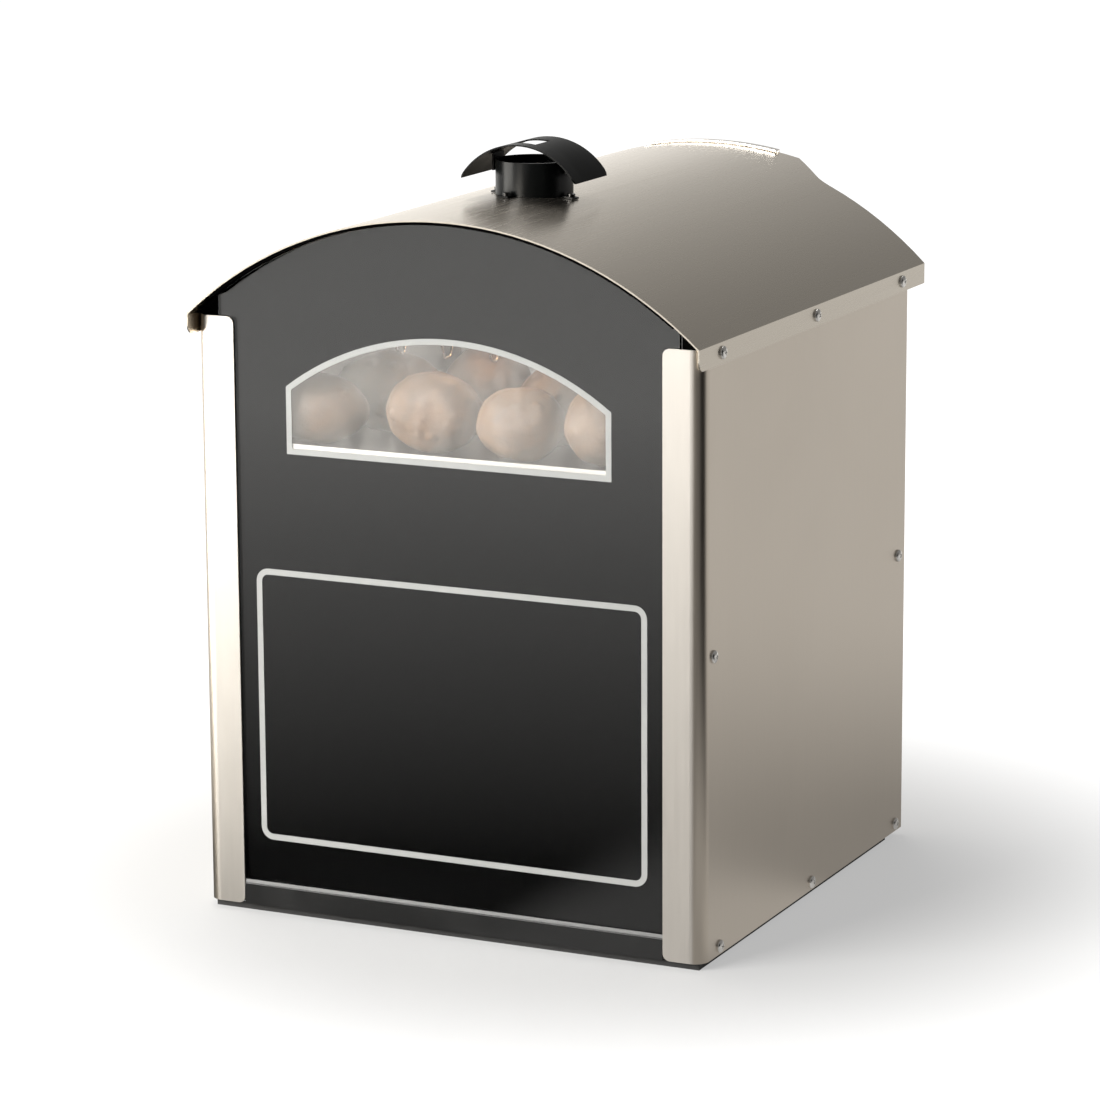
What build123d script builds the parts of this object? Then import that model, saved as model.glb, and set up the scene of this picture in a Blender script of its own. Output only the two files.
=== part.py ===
"""Table-top baked potato oven with a heated display window under an arched roof.

Millimetres. The origin is on the counter, at the centre of the cabinet's footprint.
+Z is up, the customer's side faces -Y, and +X is the customer's right.
"""

import os
from math import cos, radians, sin, sqrt

from build123d import *

os.makedirs("parts", exist_ok=True)

# ---------------------------------------------------------------- driving dimensions
# Cabinet
cabinet_w = 450.0  # over the two side panels
cabinet_d = 440.0  # front of the pilasters to the side panels' rear edges
stand_h = 6.0  # side panels' lower edges above the counter
side_h = 494.0  # height of the side panels
sheet_t = 1.2  # cabinet sheet
thin_t = 0.8  # liner sheet
corner_r = 12.0  # outside radius of the bend at each front corner
pilaster_w = 35.0  # front face of each side panel
pilaster_corner_r = 6.0
gap = 0.3  # assembly gap between neighbouring sheets

# Arched roof
roof_rise = 87.55  # from the lips' bends to the apex
roof_apex_rise = 90.0  # apex above the side panels
roof_overhang_front = 12.0
roof_overhang_side = 38.0  # past the side panels' rear edges, at the lips
roof_reach_mid = 53.5  # the same where the tongue starts
tongue_reach = 100.0  # the same at the middle tongue
tongue_half_w = 83.5
tongue_root_half_w = 123.0
tongue_root_r = 30.0
tongue_tip_r = 22.0
lip_cover = 15.0  # how far the side lips reach down over the panels
lip_bend_r = 4.0
lip_corner_r = 8.0

# Front glass and its printing
glass_t = 4.0
glass_inset = 21.0  # from each side of the cabinet
glass_flatter = 6.5  # its arch's radius over the roof's
glass_drop = 5.0  # its apex below the roof's
glass_bottom_z = 8.0
print_t = 0.15
window_inset = 59.5  # outside of the printed border to the glass's edges
window_sill = 3.0  # outside of the border below the deck
window_shoulder = 54.5  # the window's corners below the side panels' tops
window_drop = 96.4  # the window's apex below the roof's
border_w = 4.8
menu_inset = 29.0  # from the glass's edges
menu_bottom_z = 63.0
menu_drop = 100.0  # its top below the deck
menu_line_w = 5.0
menu_corner_r = 11.0
rail_h = 18.0
rail_t = 1.2
bead_h = 3.0

# Base
pan_t = 1.2
pan_wall_z = 30.0
plinth_inset = 4.0
plinth_rear_gap = 25.0
foot_r = 16.0
foot_inset = 45.0

# Frame members inside the cabinet
post_w = 24.0
post_front_leg = 30.0
post_rear_leg = 17.0
rail_depth = 21.0
bearer_front_inset = 40.0  # behind the oven's front wall
bearer_rear_inset = 70.0  # ahead of the side panels' rear edges
bearer_w = 30.0
bearer_h = 14.0
rear_screw_inset = 9.0  # from the posts' outer faces

# Side screws
screw_head_r = 5.25
screw_head_h = 3.2
screw_shank_r = 2.4
screw_len = 9.0
screw_front_inset = 33.5
screw_mid_y = 9.0
screw_rear_inset = 16.0
screw_post_inset = 20.0
screw_top_inset = 6.0
screw_mid_rise = 248.0
screw_bottom_inset = 7.0
hole_clear = 0.2
rear_screw_head_r = 3.6
rear_screw_shank_r = 1.8
rear_screw_low_zs = (40.0, 84.0, 130.0, 300.0)
rear_screw_top_inset = 20.0

# Chimney
stub_r = 32.0
stub_t = 1.5
stub_y = -50.0
stub_h = 28.0  # above the roof's apex
hood_w = 105.0
hood_len = 64.0
hood_t = 1.2
hood_rise = 29.6  # of its arch
hood_over_stub = 15.0  # its apex above the stub's rim
hood_forward = 1.0  # of the stub's axis
hood_corner_r = 4.0
hood_trim = 0.1  # taken off each tip when its corners are rounded
hood_slot_w = 20.0
hood_slot_len = 28.0
hood_slot_forward = 5.0
tab_w = 20.0
tab_t = 1.5
tab_overlap = 10.0  # length of a tab that lies on the stub
lug_r = 37.5  # radius of the stub's screw circle
lug_w = 9.0
lug_t = 1.5
lug_first_deg = 258.0
chimney_screw_r = 3.2
chimney_screw_h = 2.4
chimney_screw_shank_r = 1.6

# Strip on the rear edge of the roof's tongue
strip_half_w = 64.0
strip_leaf = 8.0
strip_t = 1.2
strip_lift = 1.2

# Display compartment
deck_drop = 107.0  # deck below the side panels' tops
deck_lip_h = 5.4
deck_inset = 23.0  # from each side of the cabinet
lamp_x = 7.0
lamp_setback = 80.0  # from the cabinet's front
lamp_rise = 8.0  # above the side panels' tops
lamp_len = 118.0
lamp_r = 5.0
reflector_w = 200.0
reflector_d = 56.0
reflector_h = 18.0
reflector_rise = 32.0  # its top above the side panels' tops
holder_w = 12.0
hoop_pitch = 53.0
hoop_wire_r = 1.0
hoop_drop = 43.0  # hoops' lowest points below the lamp
hoop_depth = 10.0

# Oven compartment
oven_bottom_z = 112.0
oven_setback = 80.0  # its front wall behind the cabinet's front
insulation_t = 22.0
slab_side_clear = 1.7  # insulation to the rear posts
slab_top_clear = 2.6  # insulation to the bearers above it
rack_rises = (23.0, 98.0, 173.0)  # runner ledges above the oven's floor
runner_ledge = 10.0
runner_t = 1.0
rack_frame_r = 3.0
rack_wire_r = 1.5
rack_pitch = 24.0
tray_h = 9.0
fan_r = 70.0
fan_blades = 8
fan_depth = 16.0
shaft_r = 4.0
running_gap = 0.05  # radial, shaft in its bearing
motor_r = 30.0
motor_len = 34.0
motor_plate_w = 100.0
element_r = 88.0
element_tube_r = 4.0
element_standoff = 14.0  # from the oven's front wall
fan_rise = 120.0  # axis above the oven's floor
element_leg_x = 12.0
baffle_gap = 32.0  # from the oven's front wall
baffle_w = 300.0
baffle_h = 215.0
tray_inset = 16.0
bulb_r = 3.0
bulb_inset = 9.0  # from the oven's side
bulb_drop = 28.0  # from the oven's top

# Rear face, doors and hinges
rear_plane_inset = 2.0  # fascia's rear face ahead of the side panels' rear edges
panel_top_z = 93.6
door_gap = 4.0  # fascia to the inner face of a door
door_inset = 25.0  # from each side of the cabinet
oven_door_drop = 14.0  # its lower edge below the oven
oven_door_t = 26.0
display_door_drop = 13.0  # its lower edge below the deck
display_door_rise = 6.0  # its upper edge above the side panels
display_door_t = 18.0
display_frame_w = 20.0
pane_t = 4.0
hinge_inset = 8.0  # from the doors' edges
hinge_y_back = 13.0  # hinge axis behind the doors' inner faces
pin_r = 3.0
pin_reach = 12.0
pin_gap = 0.08  # radial, pin in a door or an ear
ear_gap = 0.5  # door edge to the hinge ear beside it
ear_t = 5.0
ear_w = 22.0
seal_w = 6.0
seal_cover = 9.0  # past the oven's mouth
handle_inset = 32.0
handle_r = 7.0
handle_stand = 32.0
handle_post_r = 5.0
oven_handle_len = 130.0
display_handle_len = 70.0
catch_inset = 5.0

# Controls on the rear panel
control_z = 50.0
thermostat_x = 60.0
timer_x = -20.0
knob_r = 20.0
knob_h = 17.0
knob_shaft_r = 3.0
knob_lift = 2.0
control_body_r = 18.0
control_body_len = 30.0
switch_xs = (118.0, 152.0)
switch_w = 21.0
switch_h = 28.0
switch_depth = 20.0
rocker_w = 14.0
rocker_h = 20.0
rocker_tilt = 10.0
pilot_x = 186.0
pilot_r = 5.5
inlet_x = -150.0
inlet_w = 30.0
inlet_h = 24.0
inlet_depth = 26.0
socket_w = 24.0
socket_h = 16.0
socket_depth = 18.0

# ---------------------------------------------------------------- derived places
half_w = cabinet_w / 2
half_d = cabinet_d / 2
side_top_z = stand_h + side_h
roof_apex_z = side_top_z + roof_apex_rise
roof_half_w = half_w + sheet_t
roof_r = (roof_half_w**2 + roof_rise**2) / (2 * roof_rise)
lip_z = side_top_z - lip_cover
glass_w = cabinet_w - 2 * glass_inset
glass_r = roof_r + glass_flatter
glass_apex_z = roof_apex_z - glass_drop
deck_z = side_top_z - deck_drop
deck_half_w = half_w - deck_inset
window_w = glass_w - 2 * window_inset
window_bottom_z = deck_z - window_sill
window_side_z = side_top_z - window_shoulder
window_apex_z = roof_apex_z - window_drop
menu_w = glass_w - 2 * menu_inset
menu_top_z = deck_z - menu_drop
lamp_y = -half_d + lamp_setback
lamp_z = side_top_z + lamp_rise
reflector_top_z = side_top_z + reflector_rise
hoop_bottom_z = lamp_z - hoop_drop
stub_top_z = roof_apex_z + stub_h
hood_apex_z = stub_top_z + hood_over_stub
hood_tip_z = hood_apex_z - hood_rise
hood_y = stub_y - hood_forward
hood_slot_y = stub_y - hood_slot_forward
rear_screw_zs = (*rear_screw_low_zs, side_top_z - rear_screw_top_inset)
pilaster_x = half_w - pilaster_w
inner_x = half_w - sheet_t
roof_centre_z = roof_apex_z - roof_r
roof_in_r = roof_r - sheet_t
roof_front_y = -half_d - roof_overhang_front
roof_side_y = half_d + roof_overhang_side
tongue_y = half_d + tongue_reach
glass_front_y = -half_d + sheet_t + gap
glass_back_y = glass_front_y + glass_t
silver_back_y = glass_back_y + print_t
mask_back_y = silver_back_y + print_t
glass_centre_z = glass_apex_z - glass_r
pan_half_w = inner_x - gap
pan_front_y = mask_back_y + 3.2
pan_rear_y = half_d - 8.0
fascia_rear_y = half_d - rear_plane_inset
fascia_front_y = fascia_rear_y - sheet_t
door_y = fascia_rear_y + door_gap
hinge_y = door_y + hinge_y_back
post_front_y = mask_back_y + gap
post_rear_y = fascia_front_y - gap
post_x = pan_half_w - pan_t - gap
rear_screw_x = post_x - rear_screw_inset
oven_half_w = post_x - post_rear_leg - slab_side_clear - insulation_t - gap
bearer_top_z = deck_z - thin_t - gap
oven_top_z = bearer_top_z - bearer_h - slab_top_clear - insulation_t - gap
oven_front_y = -half_d + oven_setback
bearer_ys = (oven_front_y + bearer_front_inset, half_d - bearer_rear_inset)
element_y = oven_front_y + element_standoff
fan_z = oven_bottom_z + fan_rise
rack_tops = [oven_bottom_z + rise for rise in rack_rises]
tray_w = 2 * (oven_half_w - tray_inset)
bulb_x = oven_half_w - bulb_inset
bulb_z = oven_top_z - bulb_drop
seal_half_w = oven_half_w + seal_cover
door_w = cabinet_w - 2 * door_inset
display_door_z0 = deck_z - display_door_drop
display_door_z1 = side_top_z + display_door_rise
oven_door_z0 = oven_bottom_z - oven_door_drop
oven_door_z1 = display_door_z0 - ear_t - 2 * ear_gap
hinge_x = -door_w / 2 + hinge_inset
handle_x = door_w / 2 - handle_inset
catch_x = door_w / 2 - catch_inset
stub_bottom_z = roof_centre_z + sqrt(roof_r**2 - stub_r**2)
hood_r = ((hood_w / 2) ** 2 + hood_rise**2) / (2 * hood_rise)
hood_centre_z = hood_apex_z - hood_r
oven_inner_front_y = oven_front_y + thin_t
oven_rear_y = fascia_front_y - gap
baffle_y = oven_inner_front_y + baffle_gap
rack_half_w = oven_half_w - thin_t - 4.5
rack_front_y = baffle_y + 8.0
rack_rear_y = oven_rear_y - 8.0
slab_front_y = oven_front_y - gap - insulation_t
plate_back_y = slab_front_y - gap
motor_back_y = plate_back_y - sheet_t

screw_front_y = -half_d + screw_front_inset
screw_rear_y = half_d - screw_rear_inset
screw_top_z = side_top_z - screw_top_inset
screw_mid_z = stand_h + screw_mid_rise
screw_bottom_z = stand_h + screw_bottom_inset
side_screws = [
    (screw_front_y, screw_top_z),
    (screw_mid_y, screw_top_z),
    (screw_rear_y, screw_top_z),
    (-half_d + screw_post_inset, screw_mid_z),
    (screw_rear_y, screw_mid_z),
    (screw_front_y, screw_bottom_z),
    (screw_mid_y, screw_bottom_z),
    (screw_rear_y, screw_bottom_z),
]


def lug_plane(turn):
    """Plane on the chimney's lug of this number, square to the roof's outer surface."""
    angle = radians(lug_first_deg + 90 * turn)
    x = lug_r * cos(angle)
    y = stub_y + lug_r * sin(angle)
    slope = x / roof_r
    rise = sqrt(1 - slope**2)
    reach = roof_r + gap + lug_t
    return Plane((reach * slope, y, roof_centre_z + reach * rise), z_dir=(slope, 0, rise))


lug_planes = [lug_plane(turn) for turn in range(4)]


def level(z):
    """Horizontal sketch plane at height z, facing up."""
    return Plane.XY.offset(z)


def facing_front(y, z=0.0):
    """Upright sketch plane at y: local x is +X, local y is +Z, and it faces -Y."""
    return Plane((0, y, z), x_dir=(1, 0, 0), z_dir=(0, -1, 0))


def facing_right(x):
    """Upright sketch plane at x: local x is +Y, local y is +Z, and it faces +X."""
    return Plane.YZ.offset(x)


def block(x_span, y_span, z_span, mode=Mode.ADD):
    """A box between the two coordinates given along each axis."""
    spans = (x_span, y_span, z_span)
    with Locations(tuple((low + high) / 2 for low, high in spans)):
        Box(*(high - low for low, high in spans), mode=mode)


def rod_x(radius, x_span, y, z, mode=Mode.ADD):
    """A round rod along X."""
    with Locations(((x_span[0] + x_span[1]) / 2, y, z)):
        Cylinder(radius, x_span[1] - x_span[0], rotation=(0, 90, 0), mode=mode)


def rod_y(radius, x, y_span, z, mode=Mode.ADD):
    """A round rod along Y."""
    with Locations((x, (y_span[0] + y_span[1]) / 2, z)):
        Cylinder(radius, y_span[1] - y_span[0], rotation=(90, 0, 0), mode=mode)


def rod_z(radius, x, y, z_span, mode=Mode.ADD):
    """A round rod along Z."""
    with Locations((x, y, (z_span[0] + z_span[1]) / 2)):
        Cylinder(radius, z_span[1] - z_span[0], mode=mode)


def roof_z(x, radius=roof_r):
    """Height of the arch with this radius, about the roof's own centre, at x."""
    return roof_centre_z + sqrt(radius**2 - x**2)


# ---------------------------------------------------------------- side panels
# One folded sheet each: the side, the rounded corner and the narrow front face.
with BuildPart() as side_panel_right:
    with BuildSketch(level(stand_h)):
        with BuildLine():
            bend_y = -half_d + corner_r
            bend_x = half_w - corner_r
            Line((pilaster_x, -half_d), (bend_x, -half_d))
            CenterArc((bend_x, bend_y), corner_r, -90, 90)
            Line((half_w, bend_y), (half_w, half_d))
            Line((half_w, half_d), (inner_x, half_d))
            Line((inner_x, half_d), (inner_x, bend_y))
            CenterArc((bend_x, bend_y), corner_r - sheet_t, -90, 90)
            Line((bend_x, -half_d + sheet_t), (pilaster_x, -half_d + sheet_t))
            Line((pilaster_x, -half_d + sheet_t), (pilaster_x, -half_d))
        make_face()
    extrude(amount=side_h)
    pilaster_corners = side_panel_right.edges().filter_by(Axis.Y).group_by(Axis.X)[0]
    fillet(pilaster_corners, radius=pilaster_corner_r)
    for y, z in side_screws:
        rod_x(screw_shank_r + hole_clear, (inner_x - 1, half_w + 1), y, z, Mode.SUBTRACT)
side_panel_right.part.label = "side_panel_right"
export_step(side_panel_right.part, "parts/side_panel_right.step")

with BuildPart() as side_panel_left:
    mirror(side_panel_right.part, about=Plane.YZ)
side_panel_left.part.label = "side_panel_left"
export_step(side_panel_left.part, "parts/side_panel_left.step")

# ---------------------------------------------------------------- roof
# A single arched sheet with a lip down each side and a tongue at the rear.
with BuildPart() as roof:
    with BuildSketch(facing_front(tongue_y)):
        with BuildLine():
            outer_z = roof_z(roof_half_w)
            inner_z = roof_z(half_w, roof_in_r)
            ThreePointArc((-roof_half_w, outer_z), (0, roof_apex_z), (roof_half_w, outer_z))
            Line((roof_half_w, outer_z), (roof_half_w, lip_z))
            Line((roof_half_w, lip_z), (half_w, lip_z))
            Line((half_w, lip_z), (half_w, inner_z))
            ThreePointArc((half_w, inner_z), (0, roof_apex_z - sheet_t), (-half_w, inner_z))
            Line((-half_w, inner_z), (-half_w, lip_z))
            Line((-half_w, lip_z), (-roof_half_w, lip_z))
            Line((-roof_half_w, lip_z), (-roof_half_w, outer_z))
        face = make_face()
        bends = face.vertices().filter_by(lambda v: lip_z + 1 < v.Z)
        outer_bends = [v for v in bends if abs(v.X) > half_w + sheet_t / 2]
        inner_bends = [v for v in bends if abs(v.X) < half_w + sheet_t / 2]
        fillet(outer_bends, radius=lip_bend_r)
        fillet(inner_bends, radius=lip_bend_r - sheet_t)
    extrude(amount=tongue_y - roof_front_y)
    with BuildSketch(level(lip_z - 1)):
        with BuildLine():
            Polyline(
                (-roof_half_w - 1, roof_front_y - 1),
                (roof_half_w + 1, roof_front_y - 1),
                (roof_half_w + 1, roof_side_y),
                (tongue_root_half_w, half_d + roof_reach_mid),
                (tongue_half_w, tongue_y),
                (-tongue_half_w, tongue_y),
                (-tongue_root_half_w, half_d + roof_reach_mid),
                (-roof_half_w - 1, roof_side_y),
                close=True,
            )
        outline = make_face()
        roots = outline.vertices().filter_by(
            lambda v: abs(abs(v.X) - tongue_root_half_w) < 0.1
        )
        fillet(roots, radius=tongue_root_r)
        tips = outline.vertices().filter_by(lambda v: abs(abs(v.X) - tongue_half_w) < 0.1)
        fillet(tips, radius=tongue_tip_r)
    extrude(amount=roof_apex_z - lip_z + 2, mode=Mode.INTERSECT)
    lip_corners = roof.edges().filter_by(Axis.X).filter_by(
        lambda e: e.center().Z < lip_z + 0.5
    )
    fillet(lip_corners, radius=lip_corner_r)
    rod_z(stub_r - stub_t, 0, stub_y, (roof_apex_z - 30, roof_apex_z + 10), Mode.SUBTRACT)
    with Locations(*lug_planes):
        Cylinder(chimney_screw_shank_r + hole_clear, 12, mode=Mode.SUBTRACT)
    for y, z in side_screws:
        if z > lip_z:
            span = roof_half_w + 1
            rod_x(screw_shank_r + hole_clear, (-span, span), y, z, Mode.SUBTRACT)
roof.part.label = "roof"
export_step(roof.part, "parts/roof.step")

# Folded strip clipped over the tongue's rear edge.
with BuildPart() as roof_edge_strip:
    strip_top_r = roof_r + strip_lift + strip_t
    strip_low_r = roof_in_r - gap - strip_t
    strip_angle = 2 * strip_half_w / roof_r * 180 / 3.14159265
    web_front_y = tongue_y + gap
    for outer_r, inner_r, span in (
        (strip_top_r, strip_top_r - strip_t, (tongue_y - strip_leaf, web_front_y)),
        (strip_low_r + strip_t, strip_low_r, (tongue_y - strip_leaf, web_front_y)),
        (strip_top_r, strip_low_r, (web_front_y, web_front_y + strip_t)),
    ):
        with BuildSketch(facing_front(span[1])):
            with Locations((0, roof_centre_z)):
                Circle(outer_r)
                Circle(inner_r, mode=Mode.SUBTRACT)
                Rectangle(
                    2 * strip_half_w,
                    roof_r * 1.2,
                    align=(Align.CENTER, Align.MIN),
                    mode=Mode.INTERSECT,
                )
        extrude(amount=span[1] - span[0])
roof_edge_strip.part.label = "roof_edge_strip"
export_step(roof_edge_strip.part, "parts/roof_edge_strip.step")

# ---------------------------------------------------------------- front glass
# One sheet of toughened glass, with silver and then black printing on its back.
with BuildPart() as front_glass:
    with BuildSketch(facing_front(glass_back_y)) as glass_outline:
        with BuildLine():
            glass_side_z = glass_centre_z + sqrt(glass_r**2 - (glass_w / 2) ** 2)
            Line((-glass_w / 2, glass_bottom_z), (glass_w / 2, glass_bottom_z))
            Line((glass_w / 2, glass_bottom_z), (glass_w / 2, glass_side_z))
            ThreePointArc(
                (glass_w / 2, glass_side_z), (0, glass_apex_z), (-glass_w / 2, glass_side_z)
            )
            Line((-glass_w / 2, glass_side_z), (-glass_w / 2, glass_bottom_z))
        make_face()
    extrude(amount=glass_t)
front_glass.part.label = "front_glass"
export_step(front_glass.part, "parts/front_glass.step")

with BuildPart() as front_silver_print:
    with BuildSketch(facing_front(silver_back_y)) as window_shape:
        with BuildLine():
            Line((-window_w / 2, window_bottom_z), (window_w / 2, window_bottom_z))
            Line((window_w / 2, window_bottom_z), (window_w / 2, window_side_z))
            ThreePointArc(
                (window_w / 2, window_side_z),
                (0, window_apex_z),
                (-window_w / 2, window_side_z),
            )
            Line((-window_w / 2, window_side_z), (-window_w / 2, window_bottom_z))
        make_face()
        offset(amount=-border_w, mode=Mode.SUBTRACT)
    extrude(amount=print_t)
    menu_h = menu_top_z - menu_bottom_z
    with BuildSketch(facing_front(silver_back_y)):
        with Locations((0, (menu_top_z + menu_bottom_z) / 2)):
            RectangleRounded(menu_w, menu_h, menu_corner_r)
            RectangleRounded(
                menu_w - 2 * menu_line_w,
                menu_h - 2 * menu_line_w,
                menu_corner_r - menu_line_w,
                mode=Mode.SUBTRACT,
            )
    extrude(amount=print_t)
front_silver_print.part.label = "front_silver_print"
export_step(front_silver_print.part, "parts/front_silver_print.step")

with BuildPart() as front_black_print:
    with BuildSketch(facing_front(mask_back_y)):
        with BuildLine():
            Line((-glass_w / 2, glass_bottom_z), (glass_w / 2, glass_bottom_z))
            Line((glass_w / 2, glass_bottom_z), (glass_w / 2, glass_side_z))
            ThreePointArc(
                (glass_w / 2, glass_side_z), (0, glass_apex_z), (-glass_w / 2, glass_side_z)
            )
            Line((-glass_w / 2, glass_side_z), (-glass_w / 2, glass_bottom_z))
        make_face()
    extrude(amount=print_t)
    with BuildSketch(facing_front(mask_back_y)):
        with BuildLine():
            Line((-window_w / 2, window_bottom_z), (window_w / 2, window_bottom_z))
            Line((window_w / 2, window_bottom_z), (window_w / 2, window_side_z))
            ThreePointArc(
                (window_w / 2, window_side_z),
                (0, window_apex_z),
                (-window_w / 2, window_side_z),
            )
            Line((-window_w / 2, window_side_z), (-window_w / 2, window_bottom_z))
        make_face()
        offset(amount=-border_w, mode=Mode.REPLACE)
    extrude(amount=print_t, mode=Mode.SUBTRACT)
front_black_print.part.label = "front_black_print"
export_step(front_black_print.part, "parts/front_black_print.step")

# Black channel that holds the glass's lower edge, and the bead along its lip.
with BuildPart() as base_rail:
    rail_x = (-pilaster_x + gap, pilaster_x - gap)
    rail_front_y = glass_front_y - gap - rail_t
    rail_back_y = mask_back_y + gap
    block(rail_x, (rail_front_y, rail_front_y + rail_t), (stand_h, stand_h + rail_h))
    block(rail_x, (rail_front_y, rail_back_y + rail_t), (stand_h, stand_h + rail_t))
    block(rail_x, (rail_back_y, rail_back_y + rail_t), (stand_h, stand_h + rail_h))
    lip_edge = base_rail.edges().filter_by(Axis.X).group_by(Axis.Z)[-1].sort_by(Axis.Y)[0]
    fillet(lip_edge, radius=rail_t * 0.6)
base_rail.part.label = "base_rail"
export_step(base_rail.part, "parts/base_rail.step")

with BuildPart() as glass_bead:
    bead_z = stand_h + rail_h
    with BuildSketch(facing_right(rail_x[0])):
        with BuildLine():
            Line((glass_front_y, bead_z), (glass_front_y, bead_z + bead_h))
            Line((glass_front_y, bead_z + bead_h), (glass_front_y - 0.5, bead_z + bead_h))
            Line((glass_front_y - 0.5, bead_z + bead_h), (rail_front_y + rail_t, bead_z))
            Line((rail_front_y + rail_t, bead_z), (glass_front_y, bead_z))
        make_face()
    extrude(amount=rail_x[1] - rail_x[0])
glass_bead.part.label = "glass_bead"
export_step(glass_bead.part, "parts/glass_bead.step")

# ---------------------------------------------------------------- base
with BuildPart() as base_pan:
    pan_x = (-pan_half_w, pan_half_w)
    pan_y = (pan_front_y, pan_rear_y)
    pan_z0 = stand_h + gap
    block(pan_x, pan_y, (pan_z0, pan_wall_z))
    fillet(base_pan.edges().filter_by(Axis.Z), radius=3)
    block(
        (pan_x[0] + pan_t, pan_x[1] - pan_t),
        (pan_y[0] + pan_t, pan_y[1] - pan_t),
        (pan_z0 + pan_t, pan_wall_z + 1),
        Mode.SUBTRACT,
    )
    for y, z in side_screws:
        if z < pan_wall_z:
            span = pan_half_w + 1
            rod_x(screw_shank_r + hole_clear, (-span, span), y, z, Mode.SUBTRACT)
base_pan.part.label = "base_pan"
export_step(base_pan.part, "parts/base_pan.step")

with BuildPart() as plinth:
    plinth_half_w = pan_half_w - plinth_inset
    plinth_y0 = -half_d + sheet_t + plinth_inset
    plinth_y1 = half_d - plinth_rear_gap
    block((-plinth_half_w, plinth_half_w), (plinth_y0, plinth_y1), (0, pan_z0))
    block(
        (-plinth_half_w + pan_t, plinth_half_w - pan_t),
        (plinth_y0 + pan_t, plinth_y1 - pan_t),
        (-1, pan_z0 + 1),
        Mode.SUBTRACT,
    )
    block(
        (-plinth_half_w - 1, plinth_half_w + 1),
        (plinth_y0 - 1, rail_back_y + rail_t + gap),
        (stand_h - gap, pan_z0 + 1),
        Mode.SUBTRACT,
    )
plinth.part.label = "plinth"
export_step(plinth.part, "parts/plinth.step")

with BuildPart() as feet:
    with BuildSketch(level(0)):
        with GridLocations(cabinet_w - 2 * foot_inset, cabinet_d - 2 * foot_inset, 2, 2):
            Circle(foot_r)
    extrude(amount=pan_z0)
    fillet(feet.edges().filter_by(GeomType.CIRCLE).group_by(Axis.Z)[0], radius=1.5)
feet.part.label = "feet"
export_step(feet.part, "parts/feet.step")

# ---------------------------------------------------------------- frame members
# Four angle posts, and a rail on each side for the roof screws.
with BuildPart() as frame_members:
    post_z = (pan_wall_z + gap, side_top_z - 1)
    for side in (-1, 1):
        for y0, y1, web, leg in (
            (post_front_y, post_front_y + post_w, post_front_y, post_front_leg),
            (post_rear_y - post_w, post_rear_y, post_rear_y - sheet_t, post_rear_leg),
        ):
            flank = sorted((side * post_x, side * (post_x - sheet_t)))
            across = sorted((side * post_x, side * (post_x - leg)))
            block(flank, (y0, y1), post_z)
            block(across, (web, web + sheet_t), post_z)
    heels = frame_members.edges().filter_by(Axis.Z).filter_by(
        lambda e: abs(abs(e.center().X) - post_x) < 0.01
        and min(abs(e.center().Y - y) for y in (post_front_y, post_rear_y)) < 0.01
    )
    fillet(heels, radius=sheet_t * 0.9)
    roof_rail_y = (-half_d + corner_r + 3, post_rear_y)
    shelf_y = (post_front_y + post_w + 1, post_rear_y - post_w - 1)
    rail_z = (side_top_z - rail_depth, side_top_z - 1)
    for side in (-1, 1):
        flank = sorted((side * pan_half_w, side * (pan_half_w - sheet_t)))
        shelf = sorted((side * pan_half_w, side * (pan_half_w - 16)))
        block(flank, roof_rail_y, rail_z)
        block(shelf, shelf_y, (rail_z[0], rail_z[0] + sheet_t))
    for y, z in side_screws:
        rod_x(screw_shank_r + hole_clear, (-half_w, half_w), y, z, Mode.SUBTRACT)
    for side in (-1, 1):
        for z in rear_screw_zs:
            span = (post_rear_y - 2, post_rear_y + 1)
            rod_y(rear_screw_shank_r + hole_clear, side * rear_screw_x, span, z, Mode.SUBTRACT)
frame_members.part.label = "frame_members"
export_step(frame_members.part, "parts/frame_members.step")

# Pan-head screws down both sides, and smaller ones round the rear face.
with BuildPart() as cabinet_screws:
    for side in (-1, 1):
        for y, z in side_screws:
            seat = roof_half_w if z > lip_z else half_w
            with BuildSketch(Plane((side * seat, y, z), z_dir=(side, 0, 0))):
                Circle(screw_head_r)
            extrude(amount=screw_head_h)
            rod_x(
                screw_shank_r,
                sorted((side * seat, side * (seat - screw_len))),
                y,
                z,
            )
    rims = cabinet_screws.edges().filter_by(GeomType.CIRCLE).filter_by(
        lambda e: abs(e.center().X) > half_w + screw_head_h - 0.1
    )
    fillet(rims, radius=screw_head_h * 0.6)
    for side in (-1, 1):
        for z in rear_screw_zs:
            x = side * rear_screw_x
            rod_y(rear_screw_head_r, x, (fascia_rear_y, fascia_rear_y + 2.4), z)
            rod_y(rear_screw_shank_r, x, (fascia_rear_y - 8, fascia_rear_y + 1), z)
    rear_rims = cabinet_screws.edges().filter_by(GeomType.CIRCLE).group_by(Axis.Y)[-1]
    fillet(rear_rims, radius=1.2)
cabinet_screws.part.label = "cabinet_screws"
export_step(cabinet_screws.part, "parts/cabinet_screws.step")

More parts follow.
